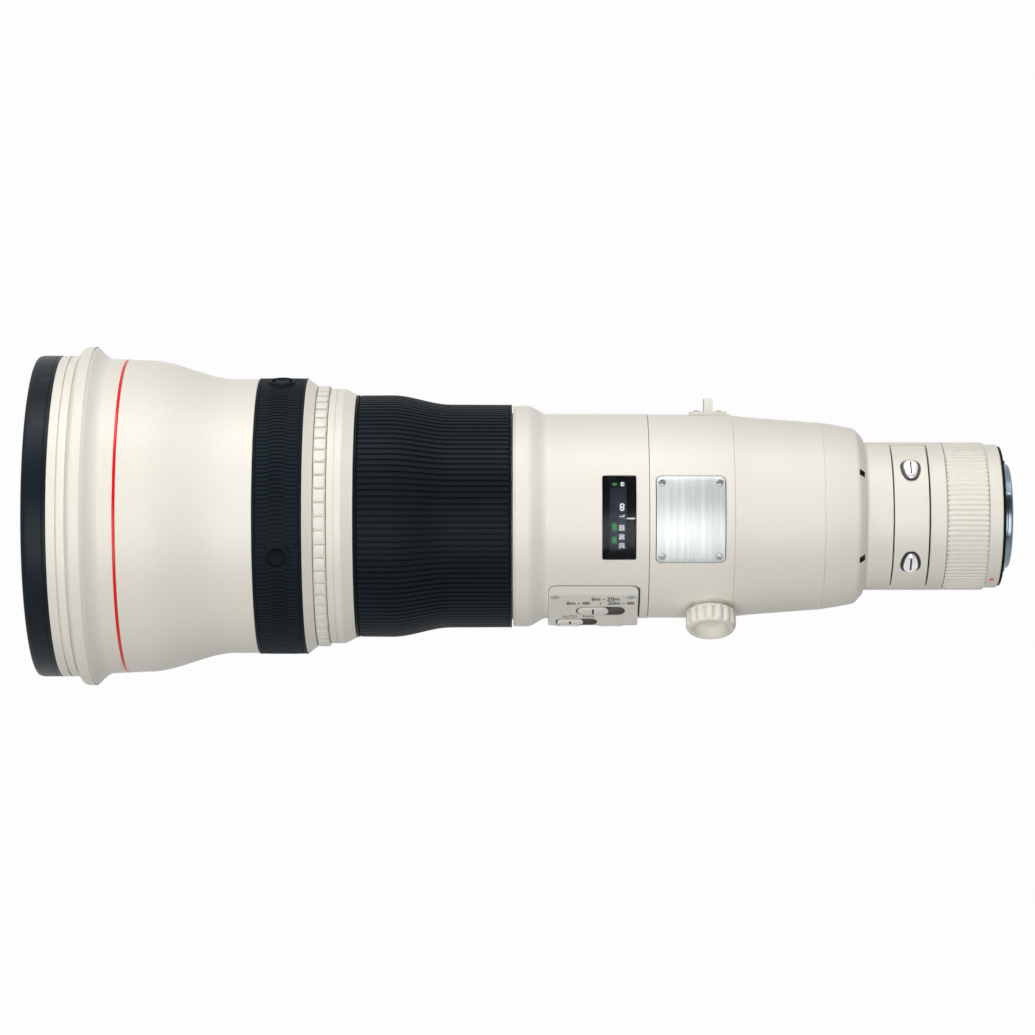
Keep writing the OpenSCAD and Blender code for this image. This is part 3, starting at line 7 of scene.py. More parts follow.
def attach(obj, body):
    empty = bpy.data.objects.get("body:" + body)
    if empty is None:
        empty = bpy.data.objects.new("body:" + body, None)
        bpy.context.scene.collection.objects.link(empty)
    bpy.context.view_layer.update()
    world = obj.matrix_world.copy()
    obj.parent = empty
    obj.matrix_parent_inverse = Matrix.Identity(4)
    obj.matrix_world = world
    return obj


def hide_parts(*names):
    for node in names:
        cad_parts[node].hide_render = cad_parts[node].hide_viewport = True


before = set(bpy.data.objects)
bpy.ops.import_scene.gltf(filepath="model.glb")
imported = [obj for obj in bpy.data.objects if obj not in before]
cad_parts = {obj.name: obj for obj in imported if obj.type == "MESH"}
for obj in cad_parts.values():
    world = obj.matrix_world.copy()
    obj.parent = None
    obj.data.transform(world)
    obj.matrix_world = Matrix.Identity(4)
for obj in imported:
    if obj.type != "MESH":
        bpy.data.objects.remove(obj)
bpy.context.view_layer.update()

# Camera, light and floor: the camera looks straight down on the lens from 1.85 m, its front to
# the left. A wide soft box stands above it and one low on the far side, with two faint ones at
# its ends. Floor and sky look white in the picture and in reflections, but give little light.


def added(name, data):
    """Puts a camera, a lamp or a mesh into the scene as an object."""
    thing = bpy.data.objects.new(name, data)
    bpy.context.collection.objects.link(thing)
    return thing


camera_data = bpy.data.cameras.new("camera")
camera_data.lens = 133.0
camera_data.sensor_width = 36.0
camera_data.shift_x = -0.0081
camera_data.shift_y = -0.0014
camera_data.clip_end = 20.0
camera = added("camera", camera_data)
camera.location = (-0.2269, 0.0, 1.845)
bpy.context.scene.camera = camera
bpy.context.scene.view_settings.view_transform = "Standard"


def shade(red, green, blue):
    """An 8-bit colour as the linear colour that a shader takes."""
    steps = [c / 255 for c in (red, green, blue)]
    return tuple(c / 12.92 if c < 0.04045 else ((c + 0.055) / 1.055) ** 2.4 for c in steps) + (1.0,)


def soft_box(name, place, aim, size, power):
    """A rectangular lamp at a place, turned to face a point."""
    lamp = bpy.data.lights.new(name, "AREA")
    lamp.shape = "RECTANGLE"
    lamp.size, lamp.size_y = size
    lamp.energy = power
    box = added(name, lamp)
    box.location = place
    box.rotation_euler = (Vector(aim) - Vector(place)).to_track_quat("-Z", "Y").to_euler()


soft_box("key_box", (-0.5, 1.5, 0.68), (-0.25, 0, 0), (1.9, 0.8), 24.0)
soft_box("top_box", (-0.3, -0.62, 2.1), (-0.26, 0, 0), (1.9, 1.5), 39.0)
soft_box("front_box", (-1.7, -0.2, 0.7), (-0.4, 0, 0), (0.9, 0.9), 3.0)
soft_box("back_box", (1.3, 0.4, 0.8), (0, 0, 0), (0.8, 0.8), 0.8)


def wire(owner, kind, settings=(), **sockets):
    """Adds a node to a finish, the sky or a node tree. A socket takes a plain value or another
    node's output; n0, n1 and so on mean a socket by its number."""
    tree = getattr(owner, "node_tree", owner)
    node = tree.nodes.new(kind)
    for key, value in dict(settings).items():
        setattr(node, key, value)
    for key, value in sockets.items():
        numbered = key[0] == "n" and key[1:].isdigit()
        socket = node.inputs[int(key[1:]) if numbered else key.replace("_", " ")]
        if isinstance(value, bpy.types.NodeSocket):
            tree.links.new(value, socket)
        else:
            socket.default_value = value
    return node


def maths(owner, operation, *values):
    """The result of one sum on plain values or outputs."""
    sockets = {f"n{i}": value for i, value in enumerate(values)}
    return wire(owner, "ShaderNodeMath", {"operation": operation}, **sockets).outputs[0]


def spread(owner, value, low, high, first=0.0, last=1.0):
    """Maps a value between first and last onto low to high."""
    return wire(owner, "ShaderNodeMapRange", Value=value, From_Min=first, From_Max=last,
                To_Min=low, To_Max=high).outputs["Result"]


def seen_white(owner):
    """One where the camera, a reflection or a view through glass meets the background, or else zero."""
    rays = wire(owner, "ShaderNodeLightPath").outputs
    seen = maths(owner, "MAXIMUM", rays["Is Camera Ray"], rays["Is Transmission Ray"])
    return maths(owner, "MAXIMUM", seen, rays["Is Glossy Ray"])


sky = bpy.data.worlds.new("sky")
sky.use_nodes = True
dim_sky = sky.node_tree.nodes["Background"]
dim_sky.inputs["Color"].default_value = (1.0, 0.99, 0.975, 1.0)
dim_sky.inputs["Strength"].default_value = 0.06
sky_place = wire(sky, "ShaderNodeTexCoord").outputs["Generated"]
sky_height = wire(sky, "ShaderNodeSeparateXYZ", n0=sky_place).outputs["Z"]
white_sky = wire(sky, "ShaderNodeBackground", Color=(1.0, 1.0, 1.0, 1.0),
                 Strength=spread(sky, sky_height, 1.0, 0.15, 0.3, 0.75))
sky_mix = wire(sky, "ShaderNodeMixShader", Fac=seen_white(sky), n1=dim_sky.outputs[0],
               n2=white_sky.outputs[0])
sky.node_tree.links.new(sky_mix.outputs[0], sky.node_tree.nodes["World Output"].inputs["Surface"])
bpy.context.scene.world = sky

floor_z, floor_half, floor_white = -0.0985, 5.0, 0.98
floor_mesh = bpy.data.meshes.new("floor")
floor_mesh.from_pydata(
    [(sx * floor_half, sy * floor_half, floor_z) for sx, sy in ((-1, -1), (1, -1), (1, 1), (-1, 1))],
    [], [(0, 1, 2, 3)],
)
floor = added("floor", floor_mesh)
floor_paint = bpy.data.materials.new("floor_paint")
floor_paint.use_nodes = True
floor_nodes = floor_paint.node_tree.nodes
floor_skin = floor_nodes["Principled BSDF"]
floor_skin.inputs["Base Color"].default_value = (0.1, 0.1, 0.098, 1.0)
floor_skin.inputs["Roughness"].default_value = 0.9
floor_glow = wire(floor_paint, "ShaderNodeEmission", Strength=1.0)
floor_share = maths(floor_paint, "MULTIPLY", seen_white(floor_paint), floor_white)
floor_mix = wire(floor_paint, "ShaderNodeMixShader", Fac=floor_share, n1=floor_skin.outputs[0],
                 n2=floor_glow.outputs[0])
floor_paint.node_tree.links.new(floor_mix.outputs[0], floor_nodes["Material Output"].inputs["Surface"])
floor_mesh.materials.append(floor_paint)

# Bumper ring: a moulded rubber ring pushed over the front rim, with a rounded nose
# and a shallow groove before its rear edge. All sizes below are in millimetres.
MM = 0.001


def finished(name, shape, finish, sharp):
    """Makes a built shape a smooth-shaded piece; edges over an angle in degrees stay sharp."""
    bmesh.ops.recalc_face_normals(shape, faces=shape.faces)
    mesh = bpy.data.meshes.new(name)
    shape.to_mesh(mesh)
    shape.free()
    mesh.shade_smooth()
    mesh.set_sharp_from_angle(angle=math.radians(sharp))
    mesh.materials.append(finish)
    return added(name, mesh)


def put(name, verts, faces, finish, sharp):
    """Makes a closed piece from points in millimetres. A face that is there already is left out."""
    shape = bmesh.new()
    points = [shape.verts.new(Vector(v) * MM) for v in verts]
    for face in faces:
        if len(set(face)) > 2:
            try:
                shape.faces.new([points[i] for i in face])
            except ValueError:
                pass
    bmesh.ops.remove_doubles(shape, verts=shape.verts, dist=1e-6)
    bmesh.ops.dissolve_degenerate(shape, edges=shape.edges, dist=1e-7)
    return finished(name, shape, finish, sharp)


def eased(corners):
    """Rounds the corners (x, r, ease) of a closed outline, and keeps the flats beside them flat."""
    steps, least_ease, widest_margin = 3, 0.01, 0.35
    points = []
    for i, corner in enumerate(corners):
        here = Vector(corner[:2])
        ease = corner[2] if len(corner) > 2 else 0
        back = Vector(corners[i - 1][:2]) - here
        ahead = Vector(corners[(i + 1) % len(corners)][:2]) - here
        room = min(back.length, ahead.length) * 0.45
        ease = min(ease, room)
        if ease < least_ease:
            points.append(tuple(here))
            continue
        start, end = here + back.normalized() * ease, here + ahead.normalized() * ease
        margin = min(widest_margin, room - ease) if room - ease > 0.05 else 0
        if margin:
            points.append(tuple(start + back.normalized() * margin))
        for k in range(steps + 1):
            t = k / steps
            points.append(tuple(start * (1 - t) ** 2 + here * 2 * t * (1 - t) + end * t * t))
        if margin:
            points.append(tuple(end + ahead.normalized() * margin))
    return points


def bands(count, size, loop):
    """Faces between rows of equally many points; in a loop the last row meets the first."""
    faces = []
    for i in range(count if loop else count - 1):
        j = (i + 1) % count
        for k in range(size):
            n = (k + 1) % size
            faces.append((i * size + k, i * size + n, j * size + n, j * size + k))
    return faces


def turned(name, outline, finish, around, start=0.0, end=360.0, sharp=34):
    """Turns a closed outline (x, r) about the lens axis; angles count from the top towards +Y."""
    whole = end - start >= 360
    rings = around if whole else around + 1
    size = len(outline)
    verts = []
    for j in range(rings):
        a = math.radians(start + (end - start) * j / around)
        verts += [(x, r * math.sin(a), r * math.cos(a)) for x, r in outline]
    faces = bands(rings, size, whole)
    if not whole:
        faces += [tuple(range(size)), tuple(range(around * size, (around + 1) * size))]
    return put(name, verts, faces, finish, sharp)


def start_finish(name, colour, roughness, metallic=0.0, level=0.5):
    """A new material, its main shader and the object's coordinates."""
    finish = bpy.data.materials.new(name)
    finish.use_nodes = True
    skin = finish.node_tree.nodes["Principled BSDF"]
    skin.inputs["Base Color"].default_value = colour
    skin.inputs["Roughness"].default_value = roughness
    skin.inputs["Metallic"].default_value = metallic
    skin.inputs["Specular IOR Level"].default_value = level
    place = wire(finish, "ShaderNodeTexCoord").outputs["Object"]
    return finish, skin, place


def dressed(finish, skin, height=None, strength=0.0, depth=0.0, **patterns):
    """Feeds patterns to the main shader, and a bump from a height pattern with its depth in metres."""
    for name, pattern in patterns.items():
        finish.node_tree.links.new(pattern, skin.inputs[name.replace("_", " ")])
    if height:
        bump = wire(finish, "ShaderNodeBump", Height=height, Strength=strength, Distance=depth)
        finish.node_tree.links.new(bump.outputs["Normal"], skin.inputs["Normal"])
    return finish


def tinted(finish, share, first, second):
    """Mixes two colours by a share."""
    mix = wire(finish, "ShaderNodeMix", {"data_type": "RGBA"}, n0=share, n6=first, n7=second)
    return mix.outputs[2]


def noise(finish, place, scale, detail=2.0, roughness=0.5):
    """A cloudy pattern from 0 to 1."""
    return wire(finish, "ShaderNodeTexNoise", Vector=place, Scale=scale, Detail=detail,
                Roughness=roughness).outputs["Fac"]


def pointed(finish):
    """Low in a piece's hollows and high on its edges."""
    return wire(finish, "ShaderNodeNewGeometry").outputs["Pointiness"]


def moulded_rubber(name, colour, dust_and_highlight_colour, roughness, grain=2600.0, level=0.07):
    """Matt rubber: a fine pebbled skin, uneven gloss, faint dust, and a painted highlight on proud edges.
    """
    finish, skin, place = start_finish(name, colour, roughness, level=level)
    broad = noise(finish, place, 26.0, 4.0)
    # Edges that stand proud are lightened towards the second colour: a painted highlight on rib tops and
    # rims.
    edge = spread(finish, pointed(finish), 0.0, 0.35, 0.52, 0.60)
    dust_and_painted_highlight = maths(finish, "ADD", edge, spread(finish, broad, 0.0, 0.25))
    return dressed(finish, skin, noise(finish, place, grain, 3.0), 0.35, 0.00006,
                   Base_Color=tinted(finish, dust_and_painted_highlight, colour, dust_and_highlight_colour),
                   Roughness=spread(finish, broad, roughness - 0.1, roughness + 0.1))


rubber_dark, rubber_dust_and_highlight = shade(15, 23, 29), shade(44, 56, 65)
bumper_rubber = moulded_rubber("bumper_rubber", rubber_dark, rubber_dust_and_highlight, 0.4, level=0.11)
bumper_front, bumper_back, bumper_r, bumper_inner_r = -461.0, -449.2, 77.3, 73.6
bumper_ring = turned("bumper_ring_rubber", eased([
    (bumper_back, bumper_inner_r, 0.2), (bumper_front + 0.8, bumper_inner_r, 0.5),
    (bumper_front, bumper_inner_r + 1.1, 0.5), (bumper_front, bumper_r - 1.7, 0.3),
    (bumper_front + 0.5, bumper_r - 0.55, 0.6), (bumper_front + 2.2, bumper_r, 0.9),
    (-451.3, bumper_r, 0.15), (-451.2, bumper_r - 0.3, 0.1), (-450.8, bumper_r - 0.3, 0.1),
    (-450.7, bumper_r, 0.15), (bumper_back, bumper_r, 0.3),
]), bumper_rubber, 320)
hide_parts("bumper_ring")
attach(bumper_ring, "barrel")

# Front barrel: one turned magnesium shell, stove-painted off-white with a very fine stipple.
# From the front it has two hood ridges, the flare band, the flare, the part with the red ring,
# the swell, and the waist that carries the front grip.


def stoved_paint(name, colour, deep, roughness=0.4):
    """Off-white stoving paint: a fine stipple, faint clouding, and painted shade darkening its hollows."""
    finish, skin, place = start_finish(name, colour, roughness, level=0.25)
    clouds = noise(finish, place, 9.0, 3.0)
    specks = noise(finish, place, 900.0, 2.0, 0.6)
    # Hollows are darkened towards the deeper tone: painted shade for creases and gaps.
    hollow = maths(finish, "MULTIPLY", spread(finish, pointed(finish), 1.0, 0.0, 0.44, 0.50), 0.8)
    mottled = spread(finish, maths(finish, "MULTIPLY", clouds, specks), 0.0, 0.9)
    mottle_and_painted_shade = maths(finish, "MAXIMUM", mottled, hollow)
    return dressed(finish, skin, noise(finish, place, 3800.0, 2.0), 0.22, 0.00004,
                   Base_Color=tinted(finish, mottle_and_painted_shade, colour, deep),
                   Roughness=spread(finish, clouds, roughness - 0.05, roughness + 0.07))


def smooth_step(x0, r0, x1, r1, steps):
    """Outline points that leave one radius and reach another without a corner."""
    return [(x0 + (x1 - x0) * t, r0 + (r1 - r0) * t * t * (3 - 2 * t))
            for t in (k / steps for k in range(steps + 1))]


paint_white, paint_deep = shade(234, 230, 220), shade(214, 209, 197)
barrel_paint = stoved_paint("barrel_paint", paint_white, paint_deep)
front_x, band_front_x, band_back_x = -449.2, -440.0, -433.1
flare_end_x, swell_x, waist_x = -424.6, -408.0, -366.5
grip_front_x, grip_back_x, cone_back_x = -354.8, -331.5, -326.8
ridge_r, band_r, flare_end_r = 77.3, 81.5, 75.7
swell_r, waist_r, grip_seat_r = 75.0, 66.0, 64.8
red_front_x, red_back_x, red_seat_r = -419.0, -417.3, 74.7
flare = [(band_back_x + (flare_end_x - band_back_x) * t,
          flare_end_r + (band_r - flare_end_r) * (1 - math.cos(math.radians(90 * (1 - t)))))
         for t in (k / 12 for k in range(1, 13))]
front_outline = eased([
    (front_x, 73.0), (front_x, ridge_r, 0.35),
    (-444.9, ridge_r, 0.2), (-444.85, 76.5), (-444.35, 76.5), (-444.3, ridge_r, 0.2),
    (-440.7, ridge_r, 0.2), (-440.65, 76.5), (-440.1, 76.5), (band_front_x, 77.0),
    (-439.6, 79.4, 0.8), (-438.4, 81.1, 1.1), (-436.6, band_r, 0.6), (band_back_x, band_r, 0.35),
]) + flare + eased([
    (red_front_x, 75.46, 0.12), (red_front_x, red_seat_r), (red_back_x, red_seat_r),
    (red_back_x, 75.39, 0.12), (swell_x, swell_r),
])[:-1] + smooth_step(swell_x, swell_r, waist_x, waist_r, 28) + eased([
    (waist_x + 4, waist_r), (grip_front_x, waist_r, 0.3), (grip_front_x, grip_seat_r),
    (grip_back_x, grip_seat_r), (grip_back_x, waist_r + 0.2, 0.3), (cone_back_x, 62.6, 0.25),
    (cone_back_x, 59.35), (-333.5, 59.35), (-333.5, 62.6),
]) + smooth_step(-368.5, 62.6, -410.0, 73.0, 12)
front_barrel = turned("front_barrel_shell", front_outline, barrel_paint, 384)
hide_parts("front_barrel")
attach(front_barrel, "barrel")

# Red ring: a crowned ring of glossy red enamel, laid in a groove of the front barrel behind
# the flare. Its depth of colour and its gloss vary a little, as brushed enamel does.
red_enamel, red_skin, red_place = start_finish("red_enamel", shade(226, 8, 4), 0.24, level=0.3)
red_flow = noise(red_enamel, red_place, 60.0, 2.0)
red_cloud = spread(red_enamel, red_flow, 0.0, 0.5)
dressed(red_enamel, red_skin, Roughness=spread(red_enamel, red_flow, 0.18, 0.3),
        Base_Color=tinted(red_enamel, red_cloud, shade(232, 8, 4), shade(204, 5, 4)))
red_middle = (red_front_x + red_back_x) / 2
red_ring = turned("red_ring_enamel", eased([
    (red_front_x + 0.04, red_seat_r + 0.05), (red_front_x + 0.04, 75.3, 0.2),
    (red_middle - 0.4, 75.56, 0.2), (red_middle + 0.4, 75.54, 0.2),
    (red_back_x - 0.04, 75.24, 0.2), (red_back_x - 0.04, red_seat_r + 0.05),
]), red_enamel, 384)
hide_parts("red_ring")
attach(red_ring, "barrel")

# Front glass with its retaining ring: the ring of blackened aluminium screws in from the front
# and has shallow threads on its bevel, and it holds a polished, multi-coated front element.


def coated_glass(name, tint, coat_tint):
    """Optical glass with a thin coloured coating. Its refractive index is set low, so that it
    reflects as little as coated glass does."""
    finish, skin, place = start_finish(name, tint, 0.02, level=0.16)
    for socket, value in (("Transmission Weight", 1.0), ("IOR", 1.17), ("Specular Tint", coat_tint),
                          ("Coat Weight", 0.12), ("Coat Roughness", 0.03)):
        skin.inputs[socket].default_value = value
    smears = noise(finish, place, 30.0, 5.0, 0.6)
    return dressed(finish, skin, Roughness=spread(finish, smears, 0.0, 0.05))


def black_anodised(name, scale=3000.0):
    """Blackened aluminium with fine turning marks round the axis."""
    finish, skin, place = start_finish(name, shade(24, 24, 26), 0.5, 0.25, 0.15)
    along = wire(finish, "ShaderNodeSeparateXYZ", Vector=place).outputs["X"]
    marks = wire(finish, "ShaderNodeTexNoise", {"noise_dimensions": "1D"}, W=along,
                 Scale=scale, Detail=2.0).outputs["Fac"]
    cloud = noise(finish, place, 90.0, 3.0)
    return dressed(finish, skin, marks, 0.25, 0.00003, Roughness=spread(finish, marks, 0.38, 0.62),
                   Base_Color=tinted(finish, cloud, shade(19, 19, 21), shade(31, 31, 34)))


lens_glass = coated_glass("lens_glass", (0.93, 0.97, 0.96, 1.0), (0.55, 0.75, 0.7, 1.0))
anodised = black_anodised("anodised_black")
thread_x, thread_r, thread_pitch, thread_depth, thread_rise = -448.0, 69.7, 0.75, 0.25, 0.22
retaining_outline = [(-452.6, 71.1), (-452.6, 72.9), (-446.8, 72.9), (-446.8, 69.6)]
for turn in range(5):
    x, r = thread_x - turn * thread_pitch, thread_r + turn * thread_rise
    retaining_outline += [(x, r), (x - thread_pitch / 2, r + thread_depth)]
retaining_ring = turned("retaining_ring_metal", retaining_outline, anodised, 240, sharp=20)
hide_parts("front_retaining_ring")
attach(retaining_ring, "barrel")

glass_rim_r, glass_front, glass_back = 72.85, -449.5, -441.9
front_bulge, back_bulge, glass_rings = 3.2, 3.0, 24
glass_outline = [(glass_front + front_bulge * t * t, glass_rim_r * t)
                 for t in (k / glass_rings for k in range(glass_rings + 1))]
glass_outline += [(glass_back + back_bulge * t * t, glass_rim_r * t)
                  for t in (k / glass_rings for k in range(glass_rings, -1, -1))]
front_glass = turned("front_glass_polished", glass_outline, lens_glass, 192)
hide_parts("front_glass")
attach(front_glass, "barrel")

# Front grip: a rubber sleeve glued on the waist, with two plain rims and rows of short ribs
# whose middle row is shifted by half a step, and a raised collar round each stop button.


def copies_tree():
    """Geometry Nodes: puts copies of one shape round the lens axis and gives them a finish."""
    tree = bpy.data.node_groups.new("copies_round_the_axis", "GeometryNodeTree")
    for name, kind in (("One", "Geometry"), ("Count", "Int"), ("First angle", "Float"),
                       ("Step angle", "Float"), ("Finish", "Material")):
        tree.interface.new_socket(name, in_out="INPUT", socket_type="NodeSocket" + kind)
    tree.interface.new_socket("Copies", in_out="OUTPUT", socket_type="NodeSocketGeometry")
    given = wire(tree, "NodeGroupInput").outputs
    places = wire(tree, "GeometryNodePoints", Count=given["Count"])
    index = wire(tree, "GeometryNodeInputIndex")
    turn = maths(tree, "MULTIPLY_ADD", index.outputs[0], given["Step angle"], given["First angle"])
    angle = wire(tree, "ShaderNodeCombineXYZ", X=turn)
    rotate = wire(tree, "FunctionNodeEulerToRotation", n0=angle.outputs[0])
    copies = wire(tree, "GeometryNodeInstanceOnPoints", Points=places.outputs[0],
                  Instance=given["One"], Rotation=rotate.outputs[0])
    real = wire(tree, "GeometryNodeRealizeInstances", n0=copies.outputs[0])
    coat = wire(tree, "GeometryNodeSetMaterial", Geometry=real.outputs[0], Material=given["Finish"])
    wire(tree, "NodeGroupOutput", n0=coat.outputs[0])
    return tree


ring_tree = copies_tree()


def applied(piece):
    """The mesh that a piece's modifiers make."""
    bpy.context.view_layer.update()
    return bpy.data.meshes.new_from_object(piece.evaluated_get(bpy.context.evaluated_depsgraph_get()))


def ringed(piece, count, first=0.0):
    """Repeats a piece round the axis from a clock angle, counted from the top towards +Y."""
    copier = piece.modifiers.new("copies", "NODES")
    copier.node_group = ring_tree
    given = {"Count": count, "First angle": -math.radians(first),
             "Step angle": -math.radians(360 / count), "Finish": piece.data.materials[0]}
    for socket in ring_tree.interface.items_tree:
        if socket.in_out == "INPUT" and socket.name in given:
            copier[socket.identifier] = given[socket.name]
    whole = applied(piece)
    piece.modifiers.remove(copier)
    piece.data = whole
    return piece


def rib(name, stations, foot_w, top_w, height, finish, base_r=None):
    """A rib that follows stations (x, radius of its foot, shift in degrees), rounded at both ends.
    With a base radius its width grows with the ring that it stands on."""
    foot, shoulder, top, root = foot_w / 2, (foot_w + top_w) / 4, top_w / 2, -0.25
    section = [(-foot, root), (-foot, 0.0), (-shoulder, height * 0.7), (-top, height),
               (top, height), (shoulder, height * 0.7), (foot, 0.0), (foot, root)]
    verts = []
    last = len(stations) - 1
    for i, (x, r, shift) in enumerate(stations):
        lift = 0.0 if i in (0, last) else (0.8 if i in (1, last - 1) else 1.0)
        for across, up in section:
            radius = r + (up * lift if up > 0 else up)
            a = math.radians(shift) + across / (base_r or r)
            verts.append((x, radius * math.sin(a), radius * math.cos(a)))
    size = len(section)
    faces = bands(last + 1, size, False)
    faces += [tuple(range(size)), tuple(range(last * size, (last + 1) * size))]
    return put(name, verts, faces, finish, 50)


def joined(pieces, name):
    """Makes one piece of several that share a place and a finish."""
    shape = bmesh.new()
    for piece in pieces:
        shape.from_mesh(piece.data)
    mesh = bpy.data.meshes.new(name)
    shape.to_mesh(mesh)
    shape.free()
    for finish in pieces[0].data.materials:
        mesh.materials.append(finish)
    for piece in pieces:
        bpy.data.objects.remove(piece)
    return added(name, mesh)


def laid(x, angle, across=0.0):
    """The place on the lens at a clock angle, moved across by a length: u runs along the lens,
    v round it, and w away from the axis."""
    sin, cos = math.sin(math.radians(angle)), math.cos(math.radians(angle))
    turn = Matrix(((1, 0, 0, x), (0, cos, sin, 0), (0, -sin, cos, 0), (0, 0, 0, 1)))
    return turn @ Matrix.Translation((0, across, 0))


def spun(name, profile, place, finish, around, sharp=34):
    """Turns a closed profile (radius, level) about the w axis of a place."""
    verts = []
    for j in range(around):
        t = 2 * math.pi * j / around
        verts += [place @ Vector((r * math.cos(t), r * math.sin(t), w)) for r, w in profile]
    return put(name, verts, bands(around, len(profile), True), finish, sharp)


grip_rubber = moulded_rubber("grip_rubber", shade(12, 20, 25), shade(36, 47, 54), 0.55)
grip_foot_r, grip_rim_r, grip_rim_w = 65.95, 66.45, 1.3
stop_first, stop_x = -16.7, -343.15
grip_base = turned("front_grip_base", eased([
    (grip_front_x + 0.1, 64.9), (grip_front_x + 0.1, grip_rim_r, 0.35),
    (grip_front_x + grip_rim_w, grip_rim_r, 0.2), (grip_front_x + grip_rim_w + 0.2, grip_foot_r, 0.1),
    (grip_back_x - grip_rim_w - 0.2, grip_foot_r, 0.1), (grip_back_x - grip_rim_w, grip_rim_r, 0.2),
    (grip_back_x - 0.1, grip_rim_r, 0.35), (grip_back_x - 0.1, 64.9),
]), grip_rubber, 320)
grip_shifts = [(-353.3, 0.0), (-347.6, 0.0), (-345.8, 0.9), (-340.3, 0.9), (-338.5, 0.0), (-333.0, 0.0)]
grip_rib_front, grip_rib_back = grip_shifts[0][0], grip_shifts[-1][0]


def grip_shift(x):
    """How far a rib is shifted at a place along the grip, in degrees."""
    for (x0, s0), (x1, s1) in zip(grip_shifts, grip_shifts[1:]):
        if x <= x1:
            return s0 + (s1 - s0) * (x - x0) / (x1 - x0)
    return 0.0


def grip_rib(offset, x0, x1):
    """One wavy rib between two places, as an angle from the nearest stop button."""
    inner = [x for x, s in grip_shifts[1:-1] if x0 + 0.5 < x < x1 - 0.5]
    places = [x0, x0 + 0.3] + inner + [x1 - 0.3, x1]
    stations = [(x, grip_foot_r, stop_first + offset + grip_shift(x)) for x in places]
    return rib("grip_rib", stations, 1.45, 0.95, 0.5, grip_rubber)


grip_step, grip_rib_r, collar_reach = 1.8, 66.2, 5.7
grip_ribs = []
for k in range(50):
    offset = (k + 0.5) * grip_step
    nearest = offset if offset < 45 else offset - 90
    steps = [grip_rib_front + 0.1 * i for i in range(204)]
    hidden = [x for x in steps
              if math.hypot(x - stop_x, grip_rib_r * math.radians(nearest + grip_shift(x))) < collar_reach]
    if hidden:
        grip_ribs.append(grip_rib(offset, grip_rib_front, hidden[0]))
        grip_ribs.append(grip_rib(offset, hidden[-1], grip_rib_back))
    else:
        grip_ribs.append(grip_rib(offset, grip_rib_front, grip_rib_back))
front_grip_ribs = ringed(joined(grip_ribs, "front_grip_ribs"), 4)
stop_collar = spun("stop_button_collars", [
    (4.9, 65.0), (6.35, 65.0), (6.35, 66.9), (6.2, 67.3), (5.85, 67.55), (5.45, 67.6), (5.1, 67.45),
    (4.9, 67.1),
], laid(stop_x, stop_first), grip_rubber, 48, 50)
ringed(stop_collar, 4)
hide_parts("front_grip")
for piece in (grip_base, front_grip_ribs, stop_collar):
    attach(piece, "barrel")

# Focus stop buttons: four round black push buttons inside the collars, with a shallow dish
# for the finger and a wide foot below the barrel's wall that keeps them in.
button_rubber = moulded_rubber("stop_button_rubber", shade(7, 13, 18), shade(28, 37, 44), 0.55, 1800.0)
for k in range(4):
    stop_button = spun(f"stop_button_{k + 1}_cap", [
        (0, 60.8), (4.8, 60.8), (4.8, 62.0), (3.7, 62.0), (3.7, 66.8), (3.62, 67.1), (3.4, 67.3),
        (3.1, 67.3), (2.6, 67.12), (1.6, 66.98), (0, 66.92),
    ], laid(stop_x, stop_first + 90 * k), button_rubber, 40, 40)
    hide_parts(f"stop_button_{k + 1}")
    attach(stop_button, f"stop_button_{k + 1}_body")

# Playback ring: a narrow painted metal ring that turns a few degrees both ways.
# Sixty square pads with rounded corners are milled round it, with narrow grooves between them.


def oblong(length, width, corner, inset, steps, sides=1):
    """A rectangle with rounded corners; a corner of half the width gives a slot."""
    half_l, half_w, c = length / 2 - inset, width / 2 - inset, max(corner - inset, 0.02)
    arcs = []
    for sx, sy, first in ((1, 1, 0), (-1, 1, 90), (-1, -1, 180), (1, -1, 270)):
        turns = [math.radians(first + 90 * k / steps) for k in range(steps + 1)]
        arcs.append([(sx * (half_l - c) + c * math.cos(t), sy * (half_w - c) + c * math.sin(t))
                     for t in turns])
    points = []
    for arc, following in zip(arcs, arcs[1:] + arcs[:1]):
        points += arc
        for k in range(1, sides):
            points.append(tuple(a + (b - a) * k / sides for a, b in zip(arc[-1], following[0])))
    return points


def stacked(name, layers, finish, sharp=34, loop=False, fold=None):
    """Skins layers of equally many points; the two ends are closed, or the last layer meets the first.
    Bent ends are closed in strips across the outline, where the point at fold faces the first one."""
    size, count = len(layers[0]), len(layers)
    faces = [] if loop or fold else [tuple(range(size)), tuple(range((count - 1) * size, count * size))]
    for base in (0, (count - 1) * size) if fold else ():
        for k in range(size):
            strip = [k, (k + 1) % size, (fold - k - 1) % size, (fold - k) % size]
            faces.append(tuple(base + i for i in dict.fromkeys(strip)))
    faces += bands(count, size, loop)
    return put(name, [p for layer in layers for p in layer], faces, finish, sharp)


def standing(place, layers):
    """Layers of flat outlines with their levels, moved onto a place."""
    return [[place @ Vector((u, v, w)) for u, v in outline] for outline, w in layers]


def raised(name, outline, levels, place, finish, sharp=34):
    """A pad on a place: an outline that depends on its inset, at levels (w, inset)."""
    return stacked(name, standing(place, [(outline(inset), w) for w, inset in levels]), finish, sharp)


